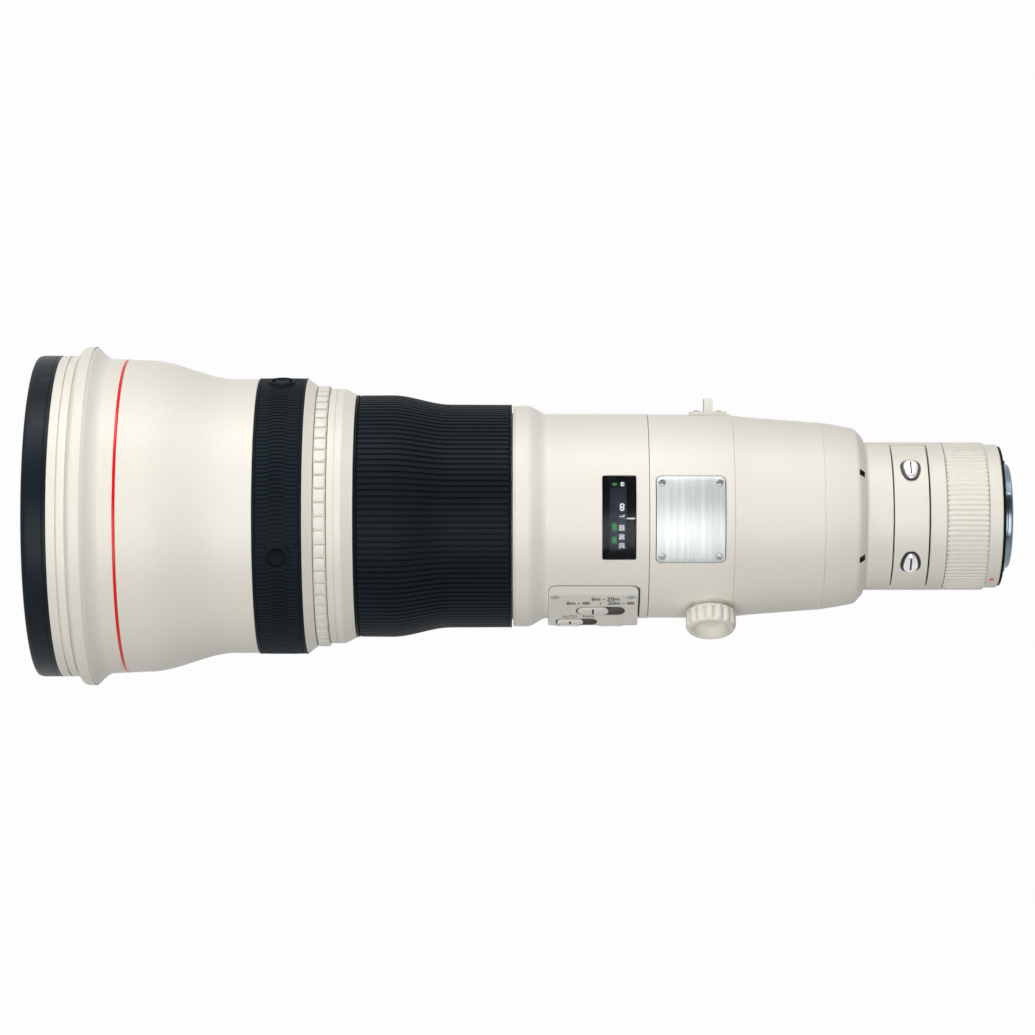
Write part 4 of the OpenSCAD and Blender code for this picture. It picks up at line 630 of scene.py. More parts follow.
ring_paint = stoved_paint("ring_paint", paint_white, paint_deep, 0.38)
playback_base = turned("playback_ring_base", eased([
    (-326.45, 59.65), (-326.45, 61.9, 0.25), (-326.1, 61.9, 0.1), (-325.95, 61.3, 0.1), (-321.1, 61.3, 0.1),
    (-320.95, 61.9, 0.1), (-320.65, 61.9, 0.2), (-320.65, 59.65),
]), ring_paint, 300)
playback_pads = raised("playback_ring_pads", lambda inset: oblong(5.3, 5.6, 1.2, inset, 4), [
    (61.0, 0), (62.3, 0), (62.6, 0.14), (62.75, 0.5),
], laid(-323.55, 3.0), ring_paint, 40)
ringed(playback_pads, 60)
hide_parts("preset_ring")
for piece in (playback_base, playback_pads):
    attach(piece, "preset_ring_body")

# Middle barrel: a turned and painted ring between the two rubber grips, with a fine groove,
# a chamfer down to the focus ring, and a long bare guide tube under it.
middle_barrel = turned("middle_barrel_shell", eased([
    (-333.4, 56.35), (-333.4, 59.25), (-320.35, 59.3), (-320.3, 61.3, 0.3), (-317.1, 61.3, 0.08),
    (-317.05, 60.95), (-316.75, 60.95), (-316.7, 61.3, 0.08), (-313.7, 61.3, 0.25),
    (-308.8, 58.85, 0.3), (-308.1, 58.6, 0.3), (-308.1, 49.7), (-227.05, 49.7), (-227.05, 47.25),
    (-312.5, 47.25), (-312.5, 56.35),
]), ring_paint, 384)
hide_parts("middle_barrel")
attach(middle_barrel, "barrel")

# Focus ring: a thick moulded rubber sleeve on a thin metal sleeve, waisted towards the back.
# It has 120 broad lengthwise ribs between two narrow rims.
focus_rubber = moulded_rubber("focus_rubber", shade(9, 15, 19), shade(30, 40, 47), 0.5)
focus_front_x, focus_back_x, focus_front_r, focus_back_r = -307.8, -233.6, 58.3, 53.8
focus_bends = [(-291.0, 58.3)] + smooth_step(-291.0, 58.3, -263.0, 53.8, 12)[1:]
focus_base = turned("focus_ring_base", eased([
    (focus_front_x, 56.6), (focus_front_x, focus_front_r, 0.5), (-306.8, focus_front_r, 0.25),
    (-306.6, 57.3, 0.1), (-305.9, 57.3, 0.1), (-305.7, 57.65, 0.1),
]) + [(x, r - 0.65) for x, r in focus_bends] + eased([
    (-235.4, 53.15, 0.1), (-235.3, 52.9, 0.1), (-234.8, 52.9, 0.1), (-234.6, focus_back_r, 0.25),
    (focus_back_x, focus_back_r, 0.5), (focus_back_x, 52.1),
]) + [(x, r - 1.7) for x, r in reversed(focus_bends)], focus_rubber, 360)
rib_places = [(-306.4, 58.3), (-306.0, 58.3)] + focus_bends + [(-234.95, 53.8), (-234.55, 53.8)]
rib_stations = [(x, r - 0.65, 0.0) for x, r in rib_places]
focus_ribs = rib("focus_ring_ribs", rib_stations, 2.3, 1.75, 0.62, focus_rubber, focus_front_r)
ringed(focus_ribs, 120, 1.5)
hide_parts("focus_grip")
for piece in (focus_base, focus_ribs):
    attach(piece, "focus_ring")

# Main barrel: a turned, painted tube with a raised shoulder behind the focus ring. The distance
# window is milled out of its top, and the wedge for the switch panel out of its left side.


def wrapped(points, radius, x, base_r, clock):
    """Bends a flat outline round the axis: its second measure runs round at a base radius."""
    return [(x + u, radius * math.sin(v / base_r + math.radians(clock)),
             radius * math.cos(v / base_r + math.radians(clock))) for u, v in points]


def cut(piece, cutters):
    """Takes cutters away from a piece; each leaves its own finish on what it cuts."""
    for cutter in cutters:
        knife = piece.modifiers.new("cut", "BOOLEAN")
        knife.operation, knife.solver, knife.object = "DIFFERENCE", "EXACT", cutter
        knife.material_mode = "TRANSFER"
    mesh = applied(piece)
    piece.modifiers.clear()
    piece.data = mesh
    mesh.set_sharp_from_angle(angle=math.radians(30))
    for cutter in cutters:
        bpy.data.objects.remove(cutter)


main_r, main_front_x, main_back_x = 49.2, -233.0, -168.8
window_x, window_len, window_arc, window_clock = -182.95, 16.1, 41.0, -1.0
main_barrel = turned("main_barrel_shell", eased([
    (main_front_x, 49.75), (main_front_x, 53.2, 0.35), (-232.2, 53.2, 0.08), (-232.15, 52.85),
    (-231.8, 52.85), (-231.75, 53.2, 0.08), (-226.5, 53.2),
]) + smooth_step(-226.3, 53.2, -216.8, main_r, 14) + eased([
    (-200.0, main_r), (main_back_x, main_r, 0.12), (main_back_x, 45.5), (-124.05, 45.5), (-124.05, 43.05),
    (-170.8, 43.05), (-172.8, 46.2), (-227.0, 46.2), (-227.0, 49.75),
]), barrel_paint, 384)
window_cutter = stacked("window_cutter", [
    wrapped(oblong(window_len, window_arc, 1.0, inset, 4, 12), radius, window_x, main_r, window_clock)
    for radius, inset in ((44.0, 0), (48.95, 0), (49.4, -0.35), (51.0, -0.35))
], barrel_paint, fold=20)
facet_clock, facet_dist, side_dist = 57.0, 49.9, 52.4
panel_front_x, panel_back_x = -216.3, -173.4
panel_section = [(-33.234, 36.362), (-37.477, 33.912), (-52.4, 10.932), (-52.4, -10.932),
                 (-44.231, -23.512)]
panel_corner_r, panel_bend = 3.4, 1.1
corner_steps = (0.0, 0.1, 0.35, 0.8, 1.5, 2.4, 3.4)


def outward(along, at):
    """The normal of a facet that points away from the lens axis."""
    out = Vector((0, along.z, -along.y))
    return -out if out.dot(at) < 0 else out


def panel_path():
    """Points round the panel's outside, with their outward normals and length from its top edge."""
    corners = [Vector((0, y, z)) for y, z in panel_section]
    path, run, last = [], 0.0, len(corners) - 2
    for i, (here, ahead) in enumerate(zip(corners, corners[1:])):
        along, length = (ahead - here).normalized(), (ahead - here).length
        out = outward(along, here)
        cuts = list(corner_steps) if i == 0 else [panel_bend]
        cuts += [length - t for t in reversed(corner_steps)] if i == last else [length - panel_bend]
        path += [(here + along * t, out, run + t) for t in cuts]
        if i < last:
            beyond = (corners[i + 2] - ahead).normalized()
            next_out = outward(beyond, ahead)
            start, end = ahead - along * panel_bend, ahead + beyond * panel_bend
            for t in (0.33, 0.67):
                bend = start * (1 - t) ** 2 + ahead * 2 * t * (1 - t) + end * t * t
                path.append((bend, (out * (1 - t) + next_out * t).normalized(), run + length))
        run += length
    return path, run


panel_points, panel_run = panel_path()


def corner_pull(run):
    """How far the panel's ends stand back at a distance from its edge, for its rounded corners."""
    edge = min(run, panel_run - run)
    return panel_corner_r - math.sqrt(max(panel_corner_r ** 2 - max(panel_corner_r - edge, 0) ** 2, 0))


panel_slit, panel_rear_slit, cutter_foot, cutter_height = 0.12, 0.75, 0.83, 3.0
cutter_rows = []
for i, (point, out, run) in enumerate(panel_points):
    x0, x1 = panel_front_x + corner_pull(run), panel_back_x + panel_rear_slit - corner_pull(run)
    if i in (0, len(panel_points) - 1):
        point = point + (point - panel_points[1 if i == 0 else -2][0]).normalized() * panel_slit
    inner, outer = point * cutter_foot, point + out * cutter_height
    cutter_rows.append([(x, p.y, p.z) for x, p in ((x0, inner), (x0, outer), (x1, outer), (x1, inner))])
panel_cutter = stacked("panel_cutter", cutter_rows, barrel_paint)
cut(main_barrel, [window_cutter, panel_cutter])
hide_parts("main_barrel")
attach(main_barrel, "barrel")

# Distance window: a curved, glossy pane, flush in the barrel. It is printed black from behind
# but for a clear strip, and a short white index line is printed on it.


def gloss_black(name, colour, roughness):
    """Smooth black print or plastic with faint smears."""
    finish, skin, place = start_finish(name, colour, roughness, level=0.12)
    smears = noise(finish, place, 120.0, 4.0, 0.6)
    return dressed(finish, skin, Roughness=spread(finish, smears, roughness - 0.08, roughness + 0.1),
                   Base_Color=tinted(finish, spread(finish, smears, 0.0, 0.6), colour, shade(16, 18, 21)))


def ink(name, colour):
    """Printed ink, a little uneven in density."""
    finish, skin, place = start_finish(name, colour, 0.5, level=0.3)
    thin = spread(finish, noise(finish, place, 1400.0, 3.0, 0.6), 0.0, 0.7)
    worn = tuple(c * 0.8 for c in colour[:3]) + (1.0,)
    return dressed(finish, skin, Base_Color=tinted(finish, thin, colour, worn))


mask_black = gloss_black("window_mask_black", shade(5, 6, 9), 0.3)
white_ink = ink("white_ink", shade(232, 236, 240))
green_ink = ink("green_ink", shade(58, 170, 84))
black_ink = ink("black_ink", shade(26, 26, 28))
pane_x, pane_len, pane_arc = -183.45, 8.1, 34.5
mask_outer = oblong(window_len - 0.2, window_arc - 0.2, 0.9, 0, 4, 12)
mask_inner = [(u + pane_x - window_x, v) for u, v in oblong(pane_len, pane_arc, 0.5, 0, 4, 12)]
window_mask = stacked("window_mask", [
    wrapped(outline, radius, window_x, main_r, window_clock)
    for outline, radius in ((mask_outer, 46.6), (mask_outer, 48.6), (mask_inner, 48.6), (mask_inner, 46.6))
], mask_black, 40, True)
index_len, index_w, index_x, index_clock = 4.1, 0.6, -177.5, -1.35
window_index = stacked("window_index_line", [
    wrapped(oblong(index_len, index_w, 0.1, 0, 2, 2), radius, index_x, main_r, index_clock)
    for radius in (48.5, 48.63)
], white_ink)
window_glass, window_skin, window_place = start_finish("window_glass", (0.96, 0.97, 0.98, 1.0), 0.02,
                                                       level=0.12)
window_skin.inputs["Transmission Weight"].default_value = 1.0
window_skin.inputs["IOR"].default_value = 1.08
window_smears = noise(window_glass, window_place, 200.0, 3.0)
dressed(window_glass, window_skin, Roughness=spread(window_glass, window_smears, 0.0, 0.04))
window_pane = stacked("window_pane", [
    wrapped(oblong(window_len - 0.1, window_arc - 0.1, 0.95, inset, 4, 12), radius, window_x, main_r,
            window_clock)
    for radius, inset in ((48.7, 0), (49.3, 0), (49.42, 0.08), (49.48, 0.3))
], window_glass, fold=20)
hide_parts("window_frame")
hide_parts("window_glass")
for piece, slot in ((window_mask, "black_plastic"), (window_index, "black_plastic"),
                    (window_pane, "clear_window")):
    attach(piece, "barrel")

# Distance scale: a dark drum under the window, printed with plain distances in white metres and
# green feet. It turns with the focus ring at half its angle.


def lettered(name, words, size, finish, narrow, bold=0.1):
    """Flat lettering, centred on the origin, as points to be laid on a piece. Infinity is drawn as
    an eight on its side."""
    depth = 0.06
    text = bpy.data.curves.new(name, "FONT")
    endless = words == "∞"
    text.body = "8" if endless else words
    text.size, text.align_x, text.align_y, text.resolution_u = size, "CENTER", "CENTER", 3
    text.extrude, text.offset = depth / 2, bold
    letters = added(name, text)
    mesh = applied(letters)
    bpy.data.objects.remove(letters)
    shape = bmesh.new()
    shape.from_mesh(mesh)
    bmesh.ops.remove_doubles(shape, verts=shape.verts, dist=1e-4)
    for vert in shape.verts:
        if endless:
            vert.co.x, vert.co.y = -vert.co.y, vert.co.x
        vert.co.x *= narrow
    shape.to_mesh(mesh)
    shape.free()
    mesh.materials.clear()
    mesh.materials.append(finish)
    return added(name, mesh)


def onto_drum(piece, x, y, radius):
    """Lays lettering round a drum, its tops towards the front, with its middle at y across the lens."""
    middle = math.asin(y / radius)
    for vert in piece.data.vertices:
        along, up, out = vert.co
        a, r = middle + along / radius, radius + out
        vert.co = Vector((x - up, r * math.sin(a), r * math.cos(a))) * MM


drum_plastic, drum_skin, drum_place = start_finish("scale_drum_plastic", shade(27, 33, 46), 0.5, level=0.3)
drum_cloud = noise(drum_plastic, drum_place, 400.0, 3.0)
dressed(drum_plastic, drum_skin,
        Base_Color=tinted(drum_plastic, drum_cloud, shade(24, 30, 42), shade(31, 38, 51)))
drum_r = 45.9
distance_drum = turned("distance_drum_shell", eased([
    (-190.3, 44.3), (-190.3, drum_r, 0.2), (-175.6, drum_r, 0.2), (-175.6, 44.3),
]), drum_plastic, 60, -50.0, 50.0)
drum_marks = []
for words, size, x, y, drum_ink, narrow in (
    ("∞", 5.0, -181.6, 4.4, white_ink, 1.0), ("L", 3.2, -181.6, 0.1, white_ink, 0.8),
    ("50", 3.5, -181.6, -5.6, white_ink, 0.8), ("30", 3.5, -181.6, -9.9, white_ink, 0.8),
    ("20", 3.5, -181.6, -14.0, white_ink, 0.8), ("200", 2.9, -185.1, -5.2, green_ink, 0.8),
    ("100", 2.9, -185.1, -11.6, green_ink, 0.8),
):
    mark = lettered("scale_mark", words, size, drum_ink, narrow)
    onto_drum(mark, x, y, drum_r + 0.01)
    drum_marks.append((mark, drum_ink))
for printed, name in ((white_ink, "scale_figures_white"), (green_ink, "scale_figures_green")):
    row = joined([mark for mark, drum_ink in drum_marks if drum_ink is printed], name)
    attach(row, "distance_scale")
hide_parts("distance_drum")
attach(distance_drum, "distance_scale")
unit_y, unit_r = 15.0, 48.62
for words, size, x, printed in (("ft", 2.7, -185.1, green_ink), ("m", 3.2, -181.7, white_ink)):
    mark = lettered("window_unit_" + words, words, size, printed, 0.85)
    onto_drum(mark, x, unit_y, unit_r)
    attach(mark, "barrel")

# Switch panel: a moulded cover screwed into the wedge, with a bevelled top edge, an upper, a side
# and a lower facet, rounded corners, and chamfered slots for the sliders.
panel_ease, panel_depth, panel_gap, ease_middle = 0.45, 3.2, 0.12, 0.13
panel_rows = []
for point, out, run in panel_points:
    x0, x1 = panel_front_x + panel_gap + corner_pull(run), panel_back_x - panel_gap - corner_pull(run)
    row = [(x0, -panel_depth), (x0, -panel_ease), (x0 + ease_middle, -ease_middle), (x0 + panel_ease, 0.0),
           (x0 + 1.2, 0.0), (x1 - 1.2, 0.0), (x1 - panel_ease, 0.0), (x1 - ease_middle, -ease_middle),
           (x1, -panel_ease), (x1, -panel_depth)]
    panel_rows.append([tuple(Vector((x, point.y, point.z)) + out * down) for x, down in row])
panel_paint = stoved_paint("panel_paint", shade(226, 224, 214), shade(206, 203, 193), 0.42)
# The slot cutters leave this dark grey on the slots' walls and floors: painted shade for their depth.
slot_painted_shade = stoved_paint("slot_painted_shade", shade(104, 101, 95), shade(70, 68, 64), 0.5)
switch_panel = stacked("switch_panel_cover", panel_rows, panel_paint)
slots = [
    (24.95, -facet_clock, facet_dist, -6.2, 23.0, 7.0, 14.8, "range_switch", "range_slider"),
    (13.55, -facet_clock, facet_dist, -16.2, 19.5, 5.4, 12.5, "focus_mode_switch", "focus_mode_slider"),
    (12.5, -90, side_dist, 3.4, 19.5, 5.4, 12.5, "stabiliser_switch", "stabiliser_slider"),
    (33.0, -90, side_dist, 3.4, 19.5, 5.4, 12.5, "stabiliser_mode_switch", "stabiliser_mode_slider"),
    (13.0, facet_clock - 180, facet_dist, 11.6, 19.5, 5.4, 12.5, "preset_switch", "preset_slider"),
]
panel_cutters = []
for along, clock, dist, up, length, width, slider_len, node, body in slots:
    panel_cutters.append(raised("slot_cutter", lambda inset: oblong(length, width, width / 2, inset, 7), [
        (dist - 1.5, 0.3), (dist - 1.4, 0), (dist - 0.25, 0), (dist + 0.05, -0.3), (dist + 1.0, -0.3),
    ], laid(panel_front_x + along, clock, up), slot_painted_shade))


def round_seat(name, radius, depth, place, around):
    """A cutter for a round, chamfered seat in a facet of the panel."""
    top, chamfer = facet_dist + 1, 0.25
    return spun(name, [
        (0, facet_dist - depth), (radius, facet_dist - depth), (radius, facet_dist - 0.2),
        (radius + chamfer, facet_dist + 0.05), (radius + chamfer, top), (0, top),
    ], place, panel_paint, around)


panel_screws = [(x, clock, up) for clock, up in ((-facet_clock, 5.53), (facet_clock - 180, 6.87))
                for x in (panel_front_x + 3.5, panel_back_x - 3.5)]
for x, clock, up in panel_screws:
    panel_cutters.append(round_seat("screw_seat_cutter", 2.0, 0.95, laid(x, clock, up), 28))
set_place = laid(panel_front_x + 32.5, facet_clock - 180, 11.6)
panel_cutters.append(round_seat("set_button_cutter", 3.5, 2.4, set_place, 32))
cut(switch_panel, panel_cutters)
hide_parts("switch_panel")
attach(switch_panel, "barrel")

# Sliders: five moulded levers, each with a flat finger pad, three grip bars at each side of a
# black index line, and a stem through the panel. The set button is a small black disc.


def moulded_plastic(name, colour, dirt_and_shade_tone, roughness=0.42):
    """Satin moulding: spark-eroded grain, faint dirt, and a corner tone, painted shade where it is darker.
    """
    finish, skin, place = start_finish(name, colour, roughness, level=0.45)
    grain = noise(finish, place, 2400.0, 2.0)
    # Corners are drawn towards the second tone: on the pale sliders this is painted shade.
    hollow = spread(finish, pointed(finish), 0.9, 0.0, 0.42, 0.49)
    dirt_and_painted_shade = maths(finish, "MAXIMUM", hollow, spread(finish, noise(finish, place, 60.0, 3.0), 0.0, 0.35))
    return dressed(finish, skin, grain, 0.2, 0.00004, Base_Color=tinted(finish, dirt_and_painted_shade, colour, dirt_and_shade_tone),
                   Roughness=spread(finish, grain, roughness - 0.06, roughness + 0.08))


slider_plastic = moulded_plastic("slider_plastic", shade(232, 230, 222), shade(190, 188, 180))
for along, clock, dist, up, length, width, slider_len, node, body in slots:
    place = laid(panel_front_x + along - (length - slider_len) / 2 + 0.5, clock, up)
    pad_w = width - 1.0
    parts = [raised("slider_pad", lambda inset: oblong(slider_len, pad_w, pad_w / 2, inset, 7), [
        (dist - 0.5, 0.1), (dist - 0.35, 0), (dist + 0.25, 0), (dist + 0.45, 0.12), (dist + 0.55, 0.35),
    ], place, slider_plastic)]
    for side in (-1, 1):
        for k in range(3):
            parts.append(raised("slider_bar", lambda inset: oblong(0.75, pad_w - 1.5, 0.3, inset, 3), [
                (dist + 0.3, 0), (dist + 0.78, 0), (dist + 0.9, 0.16),
            ], place @ Matrix.Translation((side * (1.6 + 1.3 * k), 0, 0)), slider_plastic))
    stem_len, stem_w = slider_len - 4.6, width * 0.35
    parts.append(raised("slider_stem", lambda inset: oblong(stem_len, stem_w, 0.3, inset, 2), [
        (dist - 1.9, 0), (dist - 0.3, 0)], place, slider_plastic))
    slider = joined(parts, node + "_lever")
    line = raised(node + "_line", lambda inset: oblong(0.9, pad_w - 1.6, 0.1, inset, 1), [
        (dist + 0.5, 0), (dist + 0.6, 0)], place, black_ink)
    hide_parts(node)
    for piece in (slider, line):
        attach(piece, body)
black_moulding = moulded_plastic("black_moulding", shade(22, 22, 25), shade(38, 38, 42), 0.4)
set_button = spun("set_button_cap", [
    (0, facet_dist - 0.6), (3.2, facet_dist - 0.6), (3.2, facet_dist + 0.65), (3.05, facet_dist + 0.85),
    (2.7, facet_dist + 0.9), (1.8, facet_dist + 0.78), (0, facet_dist + 0.72),
], set_place, black_moulding, 36)
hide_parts("set_button")
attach(set_button, "set_button_body")

# Panel lettering: plain distances, numbers and the words AUTO, MAN, ON, OFF and SET, pad-printed
# in black beside the slots.
upper, side, lower = (-57, 49.9), (-90, 52.4), (-123, 49.9)
print_height = 0.02
labels = []
for words, size, along, (clock, dist), up, narrow in (
    ("6m - 20m", 4.2, 27.2, upper, 4.4, 0.82), ("6m -", 4.2, 11.9, upper, 0.7, 0.82),
    ("∞", 4.8, 18.2, upper, 0.7, 1.0), ("20m -", 4.2, 32.4, upper, 0.7, 0.82),
    ("∞", 4.8, 39.4, upper, 0.7, 1.0), ("I", 3.4, 24.8, upper, 0.1, 1.0),
    ("AUTO", 3.2, 10.4, upper, -11.5, 0.78), ("MAN", 3.2, 19.2, upper, -11.5, 0.78),
    ("ON", 3.0, 8.4, side, 8.1, 0.8), ("OFF", 3.0, 16.6, side, 8.1, 0.8), ("1", 3.0, 28.4, side, 8.1, 0.8),
    ("2", 3.0, 33.2, side, 8.1, 0.8), ("3", 3.0, 38.0, side, 8.1, 0.8),
    ("ON", 2.8, 9.2, lower, 16.6, 0.8), ("OFF", 2.8, 17.4, lower, 16.6, 0.8),
    ("SET", 2.8, 32.5, lower, 17.4, 0.8),
):
    label = lettered("panel_label", words, size, black_ink, narrow, 0.1 if size > 4 else 0.0)
    place = laid(panel_front_x + along, clock)
    for vert in label.data.vertices:
        vert.co = place @ Vector((vert.co.x, vert.co.y + up, dist + print_height + vert.co.z)) * MM
    labels.append(label)
panel_labels = joined(labels, "switch_panel_labels")
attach(panel_labels, "barrel")

# Screws: stainless steel pan and countersunk screws with pressed cross recesses. The panel and
# mount screws stay in the barrel, and the plate, lug and foot screws in the collar.


def bare_metal(name, colour, dark, roughness, along=None, scale=1500.0):
    """Brushed or turned metal: fine marks across one axis, soft clouding and uneven gloss."""
    finish, skin, place = start_finish(name, colour, roughness, 1.0, 0.5)
    stretched = place
    if along:
        stretch = wire(finish, "ShaderNodeMapping", Vector=place)
        stretch.inputs["Scale"].default_value = along
        stretched = stretch.outputs[0]
    marks = noise(finish, stretched, scale, 3.0, 0.6)
    cloud = spread(finish, noise(finish, place, 70.0, 3.0), roughness - 0.1, roughness + 0.02)
    return dressed(finish, skin, marks, 0.25, 0.00002,
                   Base_Color=tinted(finish, spread(finish, marks, 0.0, 0.9), colour, dark),
                   Roughness=maths(finish, "MULTIPLY_ADD", marks, 0.12, cloud))


def polar(count, reach):
    """A flat outline of points at even angles, at the distance that a rule gives for each angle."""
    turns = [2 * math.pi * k / count for k in range(count)]
    return [(reach(t) * math.cos(t), reach(t) * math.sin(t)) for t in turns]


def cross_outline(arm, half):
    """The outline of a cross recess, with arms of a length and half width."""
    def reach(t):
        near = abs((t + math.pi / 4) % (math.pi / 2) - math.pi / 4)
        return min(arm / math.cos(near), half / max(math.sin(near), 1e-3))
    return polar(32, reach)


def screw(name, place, head_r, bottom, base, head_t, shank_r, finish, turn):
    """A cross-head screw: bottom and base are the levels of its shank's end and its head's foot."""
    def ring(r):
        return polar(32, lambda t: r)
    top = base + head_t
    arm, half = head_r * 0.58, head_r * 0.2
    spin = place @ Matrix.Rotation(math.radians(turn), 4, "Z")
    return stacked(name, standing(spin, [
        (ring(shank_r), bottom), (ring(shank_r), base), (ring(head_r * 0.97), base),
        (ring(head_r), base + head_t * 0.25), (ring(head_r * 0.96), base + head_t * 0.7),
        (ring(head_r * 0.82), top - 0.03), (ring(head_r * 0.68), top), (cross_outline(arm, half), top),
        (cross_outline(arm * 0.8, half * 0.7), top - 0.65 * head_t),
    ]), finish, 40)


screw_steel = bare_metal("screw_steel", shade(190, 192, 194), shade(146, 148, 150), 0.32)
barrel_screws = []
for i, (x, clock, up) in enumerate(panel_screws):
    barrel_screws.append(screw("panel_screw", laid(x, clock, up), 1.85, facet_dist - 2.6,
                               facet_dist - 0.75, 0.65, 0.9, screw_steel, 25 + 37 * i))
mount_face = Matrix(((0, 0, 1, 0), (1, 0, 0, 0), (0, 1, 0, 0), (0, 0, 0, 1)))
mount_screw_r = 29.9
for i, clock in enumerate((45, 135, 225, 315)):
    a = math.radians(clock)
    place = Matrix.Translation((0, mount_screw_r * math.sin(a), mount_screw_r * math.cos(a))) @ mount_face
    barrel_screws.append(screw("mount_screw", place, 1.8, -6.2, -0.8, 0.78, 1.0, screw_steel, 10 + 23 * i))
barrel_screws = joined(barrel_screws, "panel_and_mount_screws")
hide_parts("barrel_screws")
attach(barrel_screws, "barrel")

plate_x0, plate_x1, plate_r, collar_r, plate_clock = -165.5, -133.0, 49.05, 49.0, -1.95
plate_angle = math.degrees(math.asin(17.4 / collar_r))
plate_corners = [(x, side) for x in (plate_x0 + 2.7, plate_x1 - 2.7) for side in (-1, 1)]
collar_screws = []
for i, (x, side) in enumerate(plate_corners):
    collar_screws.append(screw("plate_screw", laid(x, side * plate_angle + plate_clock), 1.75, 47.4,
                               plate_r + 0.7, 0.6, 0.9, screw_steel, 15 + 31 * i))
lug_x, lug_screw_gap = -139.2, 5.45
for side in (-1, 1):
    for s in (-1, 1):
        collar_screws.append(screw("lug_screw", laid(lug_x + s * lug_screw_gap, side * 90), 1.6, 46.8, 50.3,
                                   0.6, 0.9, screw_steel, 40 + 25 * s))


def socket_screw(name, place, head_r, bottom, base, head_t, shank_r, finish):
    """A cylinder-head screw with a hexagon socket and a knurled side."""
    def ring(r, knurl=0.0):
        step = 2 * math.pi / 36
        return polar(36, lambda t: r - knurl * (round(t / step) % 2))

    def hexagon(r):
        return polar(36, lambda t: r / math.cos(t % (math.pi / 3) - math.pi / 6))
    top = base + head_t
    return stacked(name, standing(place, [
        (ring(shank_r), bottom), (ring(shank_r), base), (ring(head_r, 0.08), base),
        (ring(head_r, 0.08), top - 0.4), (ring(head_r - 0.3), top), (ring(head_r * 0.66), top),
        (hexagon(head_r * 0.5), top), (hexagon(head_r * 0.5), top - head_t * 0.6),
    ]), finish, 30)


for x in (-161.5, -135.5):
    for across in (-17.0, 17.0):
        collar_screws.append(socket_screw("foot_screw", laid(x, 180, across), 3.5, 62.0, 71.0, 3.6, 2.4,
                                          screw_steel))
collar_screws = joined(collar_screws, "collar_screws_steel")
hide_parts("collar_screws")
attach(collar_screws, "collar")

# Tripod collar: a cast and machined ring that turns on the barrel, with a pedestal below and
# a boss for the lock knob. Its edges are eased and it wears the barrel's paint.


def from_solid(node, name, finish, edge, steps=2):
    """A copy of a CAD solid with its flats made whole and its edges rounded."""
    sharp = 32
    shape = bmesh.new()
    shape.from_mesh(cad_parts[node].data)
    bmesh.ops.remove_doubles(shape, verts=shape.verts, dist=2e-6)
    bmesh.ops.dissolve_limit(shape, angle_limit=math.radians(0.4), verts=shape.verts, edges=shape.edges)
    crisp = [e for e in shape.edges
             if len(e.link_faces) == 2 and e.calc_face_angle(0) > math.radians(sharp)]
    bmesh.ops.bevel(shape, geom=crisp, offset=edge * MM, offset_type="OFFSET", segments=steps,
                    profile=0.6, affect="EDGES", clamp_overlap=True)
    return finished(name, shape, finish, sharp)


collar_ring = from_solid("collar_ring", "tripod_collar", barrel_paint, 0.16)
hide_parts("collar_ring")
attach(collar_ring, "collar")

# Nameplate: a thin plate of satin silver, brushed across the lens and bent to the collar, with
# rounded corners. It lies on a thin black bed and is left bare.
plate_silver, plate_skin, plate_place = start_finish("plate_silver", shade(205, 208, 207), 0.3, 1.0)
plate_stretch = wire(plate_silver, "ShaderNodeMapping", Vector=plate_place)
plate_stretch.inputs["Scale"].default_value = (1.0, 0.03, 0.03)
plate_marks = noise(plate_silver, plate_stretch.outputs[0], 2600.0, 4.0, 0.65)
plate_bands = noise(plate_silver, plate_stretch.outputs[0], 500.0, 3.0, 0.55)
plate_grain = spread(plate_silver, maths(plate_silver, "MULTIPLY", plate_marks, plate_bands), 0.0, 2.2)
dressed(plate_silver, plate_skin, plate_marks, 0.3, 0.00002,
        Base_Color=tinted(plate_silver, plate_grain, shade(172, 175, 176), shade(212, 215, 214)),
        Roughness=spread(plate_silver, plate_marks, 0.5, 0.62))
plate_len, plate_w, plate_mid = 32.4, 41.3, (plate_x0 + plate_x1) / 2
nameplate = stacked("nameplate_silver", [
    wrapped(oblong(plate_len, plate_w, 2.4, inset, 6, 16), radius, plate_mid, collar_r, plate_clock)
    for radius, inset in ((plate_r, 0), (plate_r + 0.5, 0), (plate_r + 0.65, 0.1), (plate_r + 0.7, 0.3))
], plate_silver, fold=28)
plate_bed = stacked("nameplate_bed", [
    wrapped(oblong(plate_len + 0.7, plate_w + 0.7, 2.7, 0, 6, 16), radius, plate_mid, collar_r, plate_clock)
    for radius in (plate_r - 0.4, plate_r + 0.25)
], black_moulding, fold=28)
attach(plate_bed, "collar")
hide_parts("nameplate")
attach(nameplate, "collar")

# Strap lugs and foot: two painted steel loops on flats at the collar's sides, and the cast foot
# with its long shoe, bolted below the pedestal.
lug_paint = stoved_paint("lug_paint", shade(224, 222, 214), shade(198, 195, 186), 0.38)
strap_lugs = from_solid("strap_lugs", "strap_lugs_painted", lug_paint, 0.6, 3)
tripod_foot = from_solid("tripod_foot", "tripod_foot_cast", barrel_paint, 0.9, 3)
for piece, node in ((strap_lugs, "strap_lugs"), (tripod_foot, "tripod_foot")):
    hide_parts(node)
    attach(piece, "collar")

# Lock knob: a painted metal knob with fifteen broad flutes, a domed rim and a turned recess in
# its face, on the clamp screw. A black pad at the screw's end grips the barrel.
knob_x, knob_clock, knob_root, knob_lobes, flute_shape = -139.0, -62.0, 50.95, 15, 2.2
knob_place = laid(knob_x, knob_clock)


